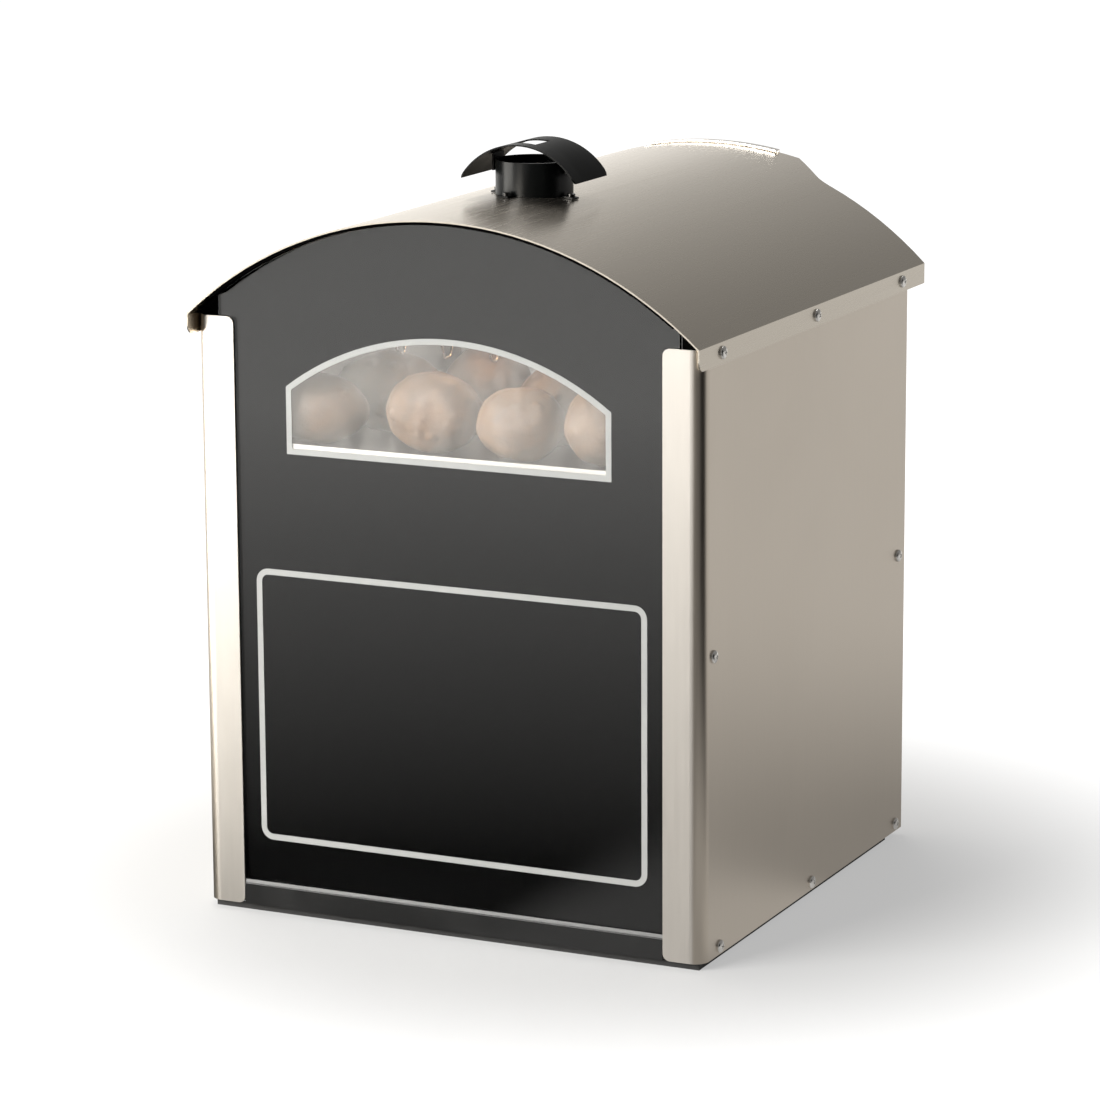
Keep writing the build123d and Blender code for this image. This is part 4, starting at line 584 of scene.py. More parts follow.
@dataclass(frozen=True)
class Wool(Finish):
    """Yellow-brown mineral wool with its matted fibres."""

    colour: Colour = (0.62, 0.55, 0.34)

    def build(self, effects: Effects) -> bpy.types.Material:
        """Makes the wool's material."""
        material, w, shader = new_material(self.name)
        where = w.place()
        strands = w.group(effects.brushing, {"Vector": where, "Stretch": (1.0, 0.25, 1.0),
                                             "Fineness": 420.0})
        mat = w.noise(where, 150.0, 6.0, 0.75, 1.5)
        tone = w.blend(strands.outputs["Streak"], tinted(self.colour, 0.6), self.colour)
        tone = w.blend(w.spread(mat, 0.35, 0.7, 0.0, 0.6), tone, tinted(self.colour, 1.25))
        bump = w.node("Bump", {"Strength": 0.8, "Distance": 0.002, "Height": mat})
        w.feed(shader.inputs["Base Color"], tone)
        w.feed(shader.inputs["Roughness"], w.spread(mat, 0.3, 0.7, 0.85, 1.0))
        w.feed(shader.inputs["Normal"], bump.outputs[0])
        shader.inputs["Sheen Weight"].default_value = 0.3
        return material


@dataclass(frozen=True)
class HotTube(Finish):
    """The lit display lamp: amber quartz, brightest along its middle."""

    colour: Colour = (1.0, 0.6, 0.3)
    strength: float = 12.0
    middle_x: float = 0.007
    half_length: float = 0.06

    def build(self, effects: Effects) -> bpy.types.Material:
        """Makes the lamp's material."""
        material, w, shader = new_material(self.name)
        where = w.place()
        along = w.node("SeparateXYZ", {0: where}).outputs[0]
        off = w.maths("ABSOLUTE", w.maths("SUBTRACT", along, self.middle_x))
        heat = w.spread(off, self.half_length * 0.45, self.half_length, 1.0, 0.06)
        mottle = w.spread(w.noise(where, 240.0, 2.0), 0.3, 0.7, 0.85, 1.0)
        lit = w.blend(w.maths("MULTIPLY", heat, mottle), (0.12, 0.03, 0.01), self.colour)
        w.feed(shader.inputs["Emission Color"], lit)
        w.feed(shader.inputs["Base Color"], w.blend(heat, (0.7, 0.68, 0.66), (0.9, 0.6, 0.35)))
        shader.inputs["Emission Strength"].default_value = self.strength
        shader.inputs["Roughness"].default_value = 0.12
        return material


STEEL: Colour = (0.63, 0.565, 0.485)
UPRIGHT: Point = (1.0, 1.0, 0.018)
LENGTHWAYS: Point = (1.0, 0.018, 1.0)
ACROSS: Point = (0.018, 1.0, 1.0)


class FinishBook:
    """Every finish of the object, under the name of its slot.

    Args:
        effects: the shared node groups.
    """

    def __init__(self, effects: Effects) -> None:
        self.effects = effects
        self.made: dict[str, bpy.types.Material] = {}
        self.finishes: dict[str, Finish] = {f.name: f for f in self._all()}

    @staticmethod
    def _all() -> Iterable[Finish]:
        """The finishes, one for each slot."""
        # Side panels: their front faces, ahead of the zone, get a lighter, cooler painted highlight
        # tint and more roughness.
        yield BrushedSheet("cabinet_steel", STEEL, 0.31, UPRIGHT, 1500.0, 0.025, 0.015, 0.03,
                           painted_light_zone=PaintedLightZone(-0.2196, (0.62, 0.585, 0.54), 0.45))
        yield BrushedSheet("roof_steel", (0.63, 0.575, 0.495), 0.25, (1.0, 0.008, 1.0), 1900.0, 0.004,
                           0.008, 0.0015)
        yield BrushedSheet("edge_strip_steel", (0.66, 0.64, 0.61), 0.25, ACROSS, 1500.0)
        yield BrushedSheet("frame_steel", (0.5, 0.51, 0.52), 0.42, UPRIGHT, 700.0, 0.08, 0.1)
        # Display liner: its inside is darkened as painted shade; the front flange, ahead of the zone,
        # keeps plain bright steel.
        yield BrushedSheet("liner_steel", (0.30, 0.28, 0.26), 0.36, LENGTHWAYS, 1200.0, 0.04,
                           painted_light_zone=PaintedLightZone(-0.2118, (0.72, 0.70, 0.67), 0.3))
        yield BrushedSheet("fascia_steel", STEEL, 0.32, ACROSS, 1500.0, 0.04, 0.06)
        yield BrushedSheet("panel_steel", (0.58, 0.55, 0.51), 0.34, ACROSS, 1500.0, 0.04, 0.06)
        yield BrushedSheet("oven_steel", (0.47, 0.44, 0.41), 0.36, LENGTHWAYS, 900.0, 0.06, 0.1,
                           0.05, (0.26, 0.17, 0.09))
        yield BrushedSheet("door_steel", STEEL, 0.31, UPRIGHT, 1500.0, 0.04, 0.06)
        yield BrushedSheet("door_inner_steel", (0.5, 0.47, 0.44), 0.34, UPRIGHT, 900.0, 0.06,
                           0.1, 0.05, (0.28, 0.19, 0.11))
        yield BrushedSheet("handle_steel", (0.68, 0.66, 0.63), 0.24, UPRIGHT, 1800.0, 0.04)
        yield BrushedSheet("shaft_steel", (0.6, 0.6, 0.6), 0.26, ACROSS, 2400.0, 0.05)
        yield BrushedSheet("bracket_steel", (0.57, 0.55, 0.52), 0.36, ACROSS, 1400.0, 0.05)
        yield BrushedSheet("frame_aluminium", (0.68, 0.68, 0.66), 0.33, UPRIGHT, 2000.0, 0.04)
        yield BrushedSheet("reflector_aluminium", (0.82, 0.81, 0.79), 0.2, ACROSS, 900.0, 0.05)
        yield BrushedSheet("wheel_aluminium", (0.7, 0.69, 0.67), 0.34, (1.0, 1.0, 1.0), 500.0,
                           0.06, 0.1, 0.05, (0.4, 0.3, 0.2))
        yield BrushedSheet("element_sheath", (0.2, 0.18, 0.17), 0.5, (1.0, 1.0, 1.0), 700.0,
                           0.1, 0.1, 0.2, (0.12, 0.09, 0.07))
        yield CastMetal("screw_steel", (0.88, 0.86, 0.83), (0.62, 0.6, 0.57), 0.25)
        yield CastMetal("pin_steel", (0.7, 0.7, 0.7), (0.5, 0.5, 0.5), 0.18)
        yield CastMetal("guard_wire", (0.75, 0.73, 0.7), (0.5, 0.4, 0.3), 0.2)
        yield CastMetal("rack_wire", (0.74, 0.73, 0.71), (0.42, 0.3, 0.2), 0.2, 90.0, 0.5)
        yield CastMetal("bulb_copper", (0.74, 0.45, 0.31), (0.35, 0.22, 0.16), 0.28)
        yield CastMetal("bush_brass", (0.74, 0.58, 0.3), (0.4, 0.3, 0.15), 0.26)
        yield CastMetal("contact_brass", (0.72, 0.66, 0.5), (0.45, 0.38, 0.25), 0.24)
        yield Glass("clear_glass")
        yield Print("black_print", (0.0022, 0.0022, 0.0022), (0.0035, 0.0035, 0.0035), 0.5, 0.0)
        yield Print("silver_print", (0.50, 0.50, 0.495), (0.56, 0.56, 0.55), 0.45)
        yield Paint("black_trim", (0.012, 0.012, 0.012), (0.04, 0.04, 0.04), 0.28, 700.0, 0.12)
        yield Paint("pan_steel", (0.03, 0.03, 0.03), (0.09, 0.09, 0.09), 0.45, 500.0, 0.3)
        yield Paint("motor_paint", (0.14, 0.14, 0.15), (0.24, 0.24, 0.25), 0.42, 420.0, 0.35)
        yield Paint("tray_enamel", (0.025, 0.025, 0.03), (0.3, 0.31, 0.33), 0.16, 260.0, 0.15,
                    0.8, 0.4)
        yield Paint("chimney_black", (0.0022, 0.0026, 0.0026), (0.006, 0.0055, 0.005), 0.38,
                    620.0, 0.08, 0.06, gloss=0.12)
        yield Paint("stub_black", (0.0018, 0.0022, 0.0022), (0.004, 0.004, 0.004), 0.24,
                    620.0, 0.05, 0.05, gloss=0.2)
        yield CastMetal("black_screw", (0.05, 0.05, 0.05), (0.02, 0.02, 0.02), 0.2)
        # Near-black strips in the roof's gaps: painted shade.
        yield Print("gap_shade_black", (0.0015, 0.0015, 0.0015), (0.003, 0.003, 0.003), 0.8, 0.0)
        yield Moulded("bead_rubber", (0.2, 0.2, 0.2), (0.28, 0.28, 0.28), 0.5)
        yield Moulded("plinth_rubber", (0.02, 0.02, 0.02), (0.05, 0.05, 0.05), 0.62, 900.0, 0.3)
        yield Moulded("foot_rubber", (0.025, 0.025, 0.025), (0.06, 0.06, 0.06), 0.66, 900.0, 0.4)
        yield Moulded("seal_silicone", (0.05, 0.045, 0.045), (0.1, 0.09, 0.08), 0.5, 700.0, 0.3)
        yield Moulded("lamp_ceramic", (0.84, 0.82, 0.77), (0.66, 0.6, 0.5), 0.4, 900.0, 0.2, 0.1)
        yield Moulded("catch_plastic", (0.07, 0.07, 0.07), (0.13, 0.13, 0.13), 0.45)
        yield Moulded("control_plastic", (0.09, 0.09, 0.09), (0.15, 0.15, 0.15), 0.5)
        yield Moulded("knob_plastic", (0.018, 0.018, 0.018), (0.05, 0.05, 0.05), 0.26, 1800.0, 0.08)
        yield Moulded("switch_plastic", (0.028, 0.028, 0.028), (0.07, 0.07, 0.07), 0.4)
        yield Moulded("rocker_green", (0.03, 0.30, 0.09), (0.06, 0.36, 0.13), 0.24, 1800.0, 0.05,
                      0.2, (0.05, 0.8, 0.2), 0.35)
        yield Moulded("rocker_amber", (0.72, 0.29, 0.03), (0.76, 0.36, 0.08), 0.24, 1800.0, 0.05,
                      0.2, (1.0, 0.42, 0.06), 0.5)
        yield Moulded("lens_red", (0.55, 0.03, 0.02), (0.6, 0.08, 0.06), 0.14, 1200.0, 0.05, 0.2,
                      (1.0, 0.08, 0.03), 1.2)
        yield Moulded("inlet_plastic", (0.02, 0.02, 0.02), (0.06, 0.06, 0.06), 0.4)
        yield Moulded("terminal_plastic", (0.76, 0.74, 0.68), (0.6, 0.57, 0.5), 0.4)
        yield Moulded("dial_ink", (0.02, 0.02, 0.02), (0.06, 0.06, 0.06), 0.5)
        yield Moulded("mark_white", (0.75, 0.75, 0.73), (0.6, 0.6, 0.58), 0.45)
        yield Skin("potato_skin")
        yield Haze("window_haze")
        yield Wool("mineral_wool")
        yield HotTube("lamp_glass")

    def material(self, name: str) -> bpy.types.Material:
        """The material of a finish, made the first time it is asked for."""
        if name not in self.made:
            self.made[name] = self.finishes[name].build(self.effects)
        return self.made[name]

    def dress(self, piece: bpy.types.Object, name: str) -> None:
        """Gives a piece or a carried-over node one finish.

        Args:
            piece: the object.
            name: the finish.
        """
        slots = piece.material_slots
        if not len(slots):
            piece.data.materials.append(self.material(name))
        for slot in slots:
            slot.material = self.material(name)


# ---------------------------------------------------------------- modelling bench
class Axis(Enum):
    """A direction of the frame, with the turn that points a primitive's Z along it."""

    X = (0.0, math.pi / 2, 0.0)
    Y = (-math.pi / 2, 0.0, 0.0)
    MINUS_Y = (math.pi / 2, 0.0, 0.0)
    Z = (0.0, 0.0, 0.0)


class Bench:
    """The modelling operators, each called with only the wanted piece selected.

    Args:
        finishes: the finish book that dresses the pieces.
    """

    def __init__(self, finishes: FinishBook) -> None:
        self.finishes = finishes
        self.count = 0

    def clear(self) -> None:
        """Deselects everything."""
        bpy.ops.object.select_all(action="DESELECT")

    def pick(self, piece: bpy.types.Object) -> None:
        """Selects one piece and makes it active."""
        self.clear()
        piece.select_set(True)
        bpy.context.view_layer.objects.active = piece

    @contextmanager
    def editing(self, piece: bpy.types.Object) -> Iterator[bpy.types.Object]:
        """Edit mode on one piece, with nothing of its mesh selected at the start."""
        self.pick(piece)
        bpy.ops.object.mode_set(mode="EDIT")
        bpy.ops.mesh.select_all(action="DESELECT")
        yield piece
        bpy.ops.object.mode_set(mode="OBJECT")

    def faces(self, piece: bpy.types.Object, wanted: Callable[[Vector, Vector], bool]) -> int:
        """Selects faces in edit mode.

        Args:
            piece: the piece in edit mode.
            wanted: tells by centre and normal whether a face is picked.
        Returns:
            How many are selected.
        """
        bpy.ops.mesh.select_mode(type="FACE")
        mesh = bmesh.from_edit_mesh(piece.data)
        for face in mesh.faces:
            face.select_set(wanted(face.calc_center_median(), face.normal))
        mesh.select_flush(True)
        bmesh.update_edit_mesh(piece.data)
        return sum(1 for face in mesh.faces if face.select)

    def edges(self, piece: bpy.types.Object, wanted: Callable[[Vector, Vector], bool]) -> int:
        """Selects edges in edit mode.

        Args:
            piece: the piece in edit mode.
            wanted: tells by the two end points whether an edge is picked.
        Returns:
            How many are selected.
        """
        bpy.ops.mesh.select_mode(type="EDGE")
        mesh = bmesh.from_edit_mesh(piece.data)
        for edge in mesh.edges:
            edge.select_set(wanted(edge.verts[0].co.copy(), edge.verts[1].co.copy()))
        mesh.select_flush(False)
        bmesh.update_edit_mesh(piece.data)
        return sum(1 for edge in mesh.edges if edge.select)

    def cylinder(self, radius: float, length: float, at: Point, axis: Axis = Axis.Z,
                 sides: int = 48) -> bpy.types.Object:
        """Adds a cylinder centred at a point, in millimetres.

        Args:
            radius: its radius.
            length: its length.
            at: its centre.
            axis: the way its end faces.
            sides: faces round it.
        Returns:
            The new piece.
        """
        self.clear()
        bpy.ops.mesh.primitive_cylinder_add(
            vertices=sides, radius=radius * MM, depth=length * MM,
            location=[c * MM for c in at], rotation=axis.value)
        return self.settled(bpy.context.object)

    def block(self, size: Point, at: Point) -> bpy.types.Object:
        """Adds a box centred at a point, in millimetres."""
        self.clear()
        bpy.ops.mesh.primitive_cube_add(size=1.0, location=[c * MM for c in at],
                                        scale=[s * MM for s in size])
        return self.settled(bpy.context.object)

    def settled(self, piece: bpy.types.Object) -> bpy.types.Object:
        """Moves a piece's place into its mesh."""
        self.pick(piece)
        bpy.ops.object.transform_apply(location=True, rotation=True, scale=True)
        return piece

    def modify(self, piece: bpy.types.Object, kind: str, **settings) -> bpy.types.Object:
        """Adds a modifier and applies it.

        Args:
            piece: the piece.
            kind: modifier type.
            settings: its properties.
        Returns:
            The piece.
        """
        self.pick(piece)
        modifier = piece.modifiers.new(kind.lower(), kind)
        for key, value in settings.items():
            setattr(modifier, key, value)
        bpy.ops.object.modifier_apply(modifier=modifier.name)
        return piece

    def rounded(self, piece: bpy.types.Object, width: float, steps: int = 2,
                angle: float = 40.0) -> bpy.types.Object:
        """Bevels a piece's sharp edges, width in millimetres."""
        return self.modify(piece, "BEVEL", width=width * MM, segments=steps,
                           limit_method="ANGLE", angle_limit=math.radians(angle),
                           harden_normals=False)

    def cut(self, piece: bpy.types.Object, tool: bpy.types.Object) -> bpy.types.Object:
        """Cuts a piece by another, which is then removed."""
        self.modify(piece, "BOOLEAN", operation="DIFFERENCE", solver="EXACT", object=tool)
        bpy.data.objects.remove(tool)
        return piece

    def merged(self, pieces: Sequence[bpy.types.Object]) -> bpy.types.Object:
        """Joins pieces into the first of them."""
        self.clear()
        for piece in pieces:
            piece.select_set(True)
        bpy.context.view_layer.objects.active = pieces[0]
        bpy.ops.object.join()
        return pieces[0]

    def copied(self, piece: bpy.types.Object, turn: Matrix) -> bpy.types.Object:
        """A copy with its own mesh, moved by a matrix.

        Args:
            piece: the model that is copied.
            turn: the move, in metres.
        Returns:
            The copy.
        """
        twin = piece.copy()
        twin.data = piece.data.copy()
        bpy.context.scene.collection.objects.link(twin)
        twin.data.transform(turn)
        return twin

    def wool(self, node: str, name: str, body: str) -> None:
        """Replaces a slab of mineral wool by one with soft, uneven faces.

        Args:
            node: the frame's node, whose space the wool fills.
            name: the new piece's name.
            body: the body that it rides on.
        """
        self.clear()
        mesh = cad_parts[node].data.copy()
        mesh.materials.clear()
        piece = bpy.data.objects.new(name, mesh)
        bpy.context.scene.collection.objects.link(piece)
        with self.editing(piece):
            bpy.ops.mesh.select_all(action="SELECT")
            bpy.ops.mesh.remove_doubles(threshold=0.00001)
        self.modify(piece, "REMESH", mode="VOXEL", voxel_size=0.005)
        tufts = bpy.data.textures.new(name, "CLOUDS")
        tufts.noise_scale = 0.018
        tufts.noise_depth = 2
        self.modify(piece, "DISPLACE", texture=tufts, texture_coords="GLOBAL",
                    strength=0.0016, mid_level=1.0)
        self.finish(piece, name, body, "mineral_wool", [node], smooth=180.0)

    def words(self, text: str, size: float, at: Point, depth: float = 0.15) -> bpy.types.Object:
        """Raised characters that face the rear, as on a dial's scale.

        Args:
            text: the characters.
            size: their height in millimetres.
            at: their centre in millimetres.
            depth: how thick they are in millimetres.
        Returns:
            The new piece.
        """
        self.clear()
        bpy.ops.object.text_add(location=(0, 0, 0))
        piece = bpy.context.object
        piece.data.body = text
        piece.data.align_x = "CENTER"
        piece.data.align_y = "CENTER"
        piece.data.size = size * MM
        piece.data.extrude = depth * MM / 2
        self.pick(piece)
        bpy.ops.object.convert(target="MESH")
        piece = bpy.context.object
        turn = Matrix.Translation([c * MM for c in at])
        turn = turn @ Matrix.Rotation(math.pi, 4, "Z") @ Matrix.Rotation(math.pi / 2, 4, "X")
        piece.data.transform(turn)
        piece.matrix_world = Matrix.Identity(4)
        return piece

    def finish(self, piece: bpy.types.Object, name: str, body: str, finish: str,
               stands_for: Sequence[str] = (), smooth: Optional[float] = 35.0,
               slot: Optional[str] = None) -> bpy.types.Object:
        """Names, smooths, dresses and mounts a piece.

        Args:
            piece: the piece, with its place in its mesh.
            name: its name.
            body: the body that it rides on.
            finish: its finish.
            stands_for: the frame's nodes that it replaces.
            smooth: angle up to which faces shade as one, or None for flat.
            slot: the record's slot, where it isn't the finish's name. Not used.
        Returns:
            The piece.
        """
        piece.name = name
        piece.data.name = name
        self.pick(piece)
        if smooth is not None:
            bpy.ops.object.shade_smooth_by_angle(angle=math.radians(smooth))
        self.finishes.dress(piece, finish)
        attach(piece, body)
        if stands_for:
            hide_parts(*stands_for)
        self.count += 1
        log.info("%s rides on %s in %s, %d faces", name, body, finish, len(piece.data.polygons))
        return piece


@dataclass
class SubAssembly:
    """A part of the oven: which of the frame's nodes it holds, and what is built anew."""

    bench: Bench
    nodes: dict[str, str] = field(default_factory=dict)

    def dress(self) -> None:
        """Gives each carried-over node its finish."""
        for node, finish in self.nodes.items():
            self.bench.finishes.dress(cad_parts[node], finish)
            log.info("%s keeps its shape in %s", node, finish)

    def build(self) -> None:
        """Builds the new pieces. Without any, only the finishes are given."""
        self.dress()


# ---------------------------------------------------------------- cabinet
@dataclass
class Cabinet(SubAssembly):
    """Side panels, roof, base, frame and the screws."""

    head_r: float = 5.25
    head_h: float = 3.2
    half_w: float = 225.0
    lip_x: float = 226.2
    top_z: float = 494.0
    side_y: tuple[float, ...] = (-186.5, 9.0, 204.0)
    mid_y: tuple[float, ...] = (-200.0, 204.0)
    mid_z: float = 254.0
    low_z: float = 13.0
    rear_x: float = 213.0
    rear_y: float = 218.0
    rear_z: tuple[float, ...] = (40.0, 84.0, 130.0, 300.0, 480.0)
    roof_in_r: float = 334.8
    roof_centre_z: float = 254.0
    # The near-black strip under the roof's front edge, painted shade of that gap.
    shade_strip_half_w: float = 203.5
    shade_strip_y: float = -224.9
    shade_strip_t: float = 12.4
    shade_strip_h: float = 2.4

    def __post_init__(self) -> None:
        """Lists the nodes that keep their shape."""
        self.nodes = {
            "side_panel_left": "cabinet_steel", "side_panel_right": "cabinet_steel",
            "roof": "roof_steel", "roof_edge_strip": "edge_strip_steel",
            "base_pan": "pan_steel", "plinth": "plinth_rubber", "feet": "foot_rubber",
            "frame_members": "frame_steel", "bearers": "frame_steel",
            "rear_fascia": "fascia_steel", "control_panel": "panel_steel",
        }

    def screw(self, head_r: float, head_h: float, slot_l: float) -> bpy.types.Object:
        """One pan-head screw with a cross recess, its head up from z = 0.

        Args:
            head_r: radius of the head in millimetres.
            head_h: its height.
            slot_l: length of the recess across the head.
        Returns:
            The model that is copied.
        """
        b = self.bench
        head = b.cylinder(head_r, head_h, (0, 0, head_h / 2), sides=40)
        low = head_h * 0.55
        with b.editing(head):
            b.faces(head, lambda c, n: n.z > 0.9)
            bpy.ops.mesh.inset(thickness=head_r * 0.42 * MM)
            bpy.ops.mesh.inset(thickness=head_r * 0.3 * MM)
        for vert in head.data.vertices:
            if vert.co.z > 0.5 * head_h * MM:
                share = vert.co.xy.length / (head_r * MM)
                vert.co.z = (head_h - (head_h - low) * share ** 2.2) * MM
        with b.editing(head):
            b.edges(head, lambda p, q: min(p.z, q.z) > (low - 0.01) * MM
                    and min(p.xy.length, q.xy.length) > (head_r - 0.01) * MM)
            bpy.ops.mesh.bevel(offset=low * 0.5 * MM, segments=3, affect="EDGES")
        arms = [b.block((slot_l, head_r * 0.26, head_h), (0, 0, head_h * 0.95)),
                b.block((head_r * 0.26, slot_l, head_h), (0, 0, head_h * 0.95))]
        for arm in arms:
            with b.editing(arm):
                b.faces(arm, lambda c, n: n.z < -0.9)
                bpy.ops.transform.resize(value=(0.55, 0.55, 1.0))
            b.cut(head, arm)
        well = b.cylinder(head_r * 0.3, head_h, (0, 0, head_h * 0.9), sides=20)
        with b.editing(well):
            b.faces(well, lambda c, n: n.z < -0.9)
            bpy.ops.transform.resize(value=(0.5, 0.5, 1.0))
        b.cut(head, well)
        ring = b.cylinder(head_r * 0.62, 8.0, (0, 0, -3.95), sides=20)
        with b.editing(ring):
            b.faces(ring, lambda c, n: n.z < -0.9)
            bpy.ops.transform.resize(value=(0.6, 0.6, 1.0))
        return b.merged([head, ring])

    def corner_shade_strip(self, name: str, side: int) -> None:
        """A near-black strip on a front post, which closes the corner up to the roof: painted shade
        of the corner gap.

        Args:
            name: its name.
            side: -1 on the left, 1 on the right.
        """
        b = self.bench
        strip = b.block((20.0, 10.0, 16.0), (side * 213.4, -208.4, 507.0))
        with b.editing(strip):
            b.edges(strip, lambda p, q: abs(p.x - q.x) > 5 * MM)
            bpy.ops.mesh.subdivide(number_cuts=9)
        for vert in strip.data.vertices:
            if vert.co.z > 507.0 * MM:
                arch = math.sqrt(self.roof_in_r ** 2 - (vert.co.x / MM) ** 2)
                vert.co.z = (self.roof_centre_z + arch - 0.4) * MM
        b.rounded(strip, 0.8)
        b.finish(strip, name, "cabinet", "gap_shade_black", slot="seal_silicone")

    def arch_shade_strip(self) -> None:
        """A near-black strip between the glass's top edge and the roof, under its front edge: painted
        shade of the gap under the roof.
        """
        b = self.bench
        strip = b.block((2 * self.shade_strip_half_w, self.shade_strip_t, self.shade_strip_h), (0, self.shade_strip_y, 0))
        with b.editing(strip):
            b.edges(strip, lambda p, q: abs(p.x - q.x) > 5 * MM)
            bpy.ops.mesh.subdivide(number_cuts=47)
        for vert in strip.data.vertices:
            across = vert.co.x / MM
            arch = self.roof_centre_z + math.sqrt(self.roof_in_r ** 2 - across ** 2)
            vert.co.z += (arch - 0.2 - self.shade_strip_h / 2) * MM
        b.rounded(strip, 0.25)
        b.finish(strip, "arch_shade_strip", "cabinet", "gap_shade_black", slot="seal_silicone")

    def build(self) -> None:
        """Dresses the sheets, closes the front corners and the gap under the roof's front edge with
        near-black strips of painted shade, and sets the screws.
        """
        self.dress()
        b = self.bench
        self.corner_shade_strip("corner_shade_strip_left", -1)
        self.corner_shade_strip("corner_shade_strip_right", 1)
        self.arch_shade_strip()
        rng = random.Random(7)
        model = self.screw(self.head_r, self.head_h, 5.6)
        number = 0
        for side in (-1, 1):
            rows = [(y, self.top_z, self.lip_x) for y in self.side_y]
            rows += [(y, self.mid_z, self.half_w) for y in self.mid_y]
            rows += [(y, self.low_z, self.half_w) for y in self.side_y]
            for y, z, seat in rows:
                number += 1
                place = Matrix.Translation((side * seat * MM, y * MM, z * MM))
                place = place @ Matrix.Rotation(side * math.pi / 2, 4, "Y")
                place = place @ Matrix.Rotation(rng.uniform(0, math.pi / 2), 4, "Z")
                twin = b.copied(model, place)
                b.finish(twin, f"side_screw_{number:02d}", "cabinet", "screw_steel",
                         ["cabinet_screws"])
        bpy.data.objects.remove(model)
        model = self.screw(3.6, 2.4, 3.8)
        number = 0
        for side in (-1, 1):
            for z in self.rear_z:
                number += 1
                place = Matrix.Translation((side * self.rear_x * MM, self.rear_y * MM, z * MM))
                place = place @ Matrix.Rotation(-math.pi / 2, 4, "X")
                place = place @ Matrix.Rotation(rng.uniform(0, math.pi / 2), 4, "Z")
                twin = b.copied(model, place)
                b.finish(twin, f"rear_screw_{number:02d}", "cabinet", "screw_steel",
                         ["cabinet_screws"])
        bpy.data.objects.remove(model)


@dataclass
class FrontWindow(SubAssembly):
    """The arched glass with its prints, the steam on it, the rail and the bead under it."""

    half_w: float = 147.0
    low_z: float = 388.0
    apex_z: float = 495.6
    arch_r: float = 243.0
    film_y: float = -213.95
    film_t: float = 0.2

    def __post_init__(self) -> None:
        """Lists the nodes that keep their shape."""
        self.nodes = {
            "front_glass": "clear_glass", "front_silver_print": "silver_print",
            "front_black_print": "black_print", "base_rail": "black_trim",
            "glass_bead": "bead_rubber",
        }

    def top(self, x: float) -> float:
        """Height of the window's arched edge at a place across it, in millimetres."""
        return self.apex_z - self.arch_r + math.sqrt(self.arch_r ** 2 - x * x)

    def build(self) -> None:
        """Dresses the front and puts the film of steam on the window's inside."""
        self.dress()
        b = self.bench
        middle = (self.low_z + self.apex_z) / 2
        height = self.apex_z - self.low_z
        film = b.block((2 * self.half_w, self.film_t, height), (0, self.film_y, middle))
        with b.editing(film):
            b.edges(film, lambda p, q: abs(p.y - q.y) < 0.05 * MM)
            bpy.ops.mesh.subdivide(number_cuts=15)
        for vert in film.data.vertices:
            share = (vert.co.z / MM - self.low_z) / height
            rise = self.top(vert.co.x / MM) - self.low_z
            vert.co.z = (self.low_z + share * rise) * MM
        b.finish(film, "window_steam", "cabinet", "window_haze", slot="clear_glass")


# ---------------------------------------------------------------- display
@dataclass(frozen=True)
class Potato:
    """One potato: its centre and half sizes in millimetres, and its turn in degrees."""

    x: float
    y: float
    height: float
    half_length: float
    half_thickness: float
    turn: float


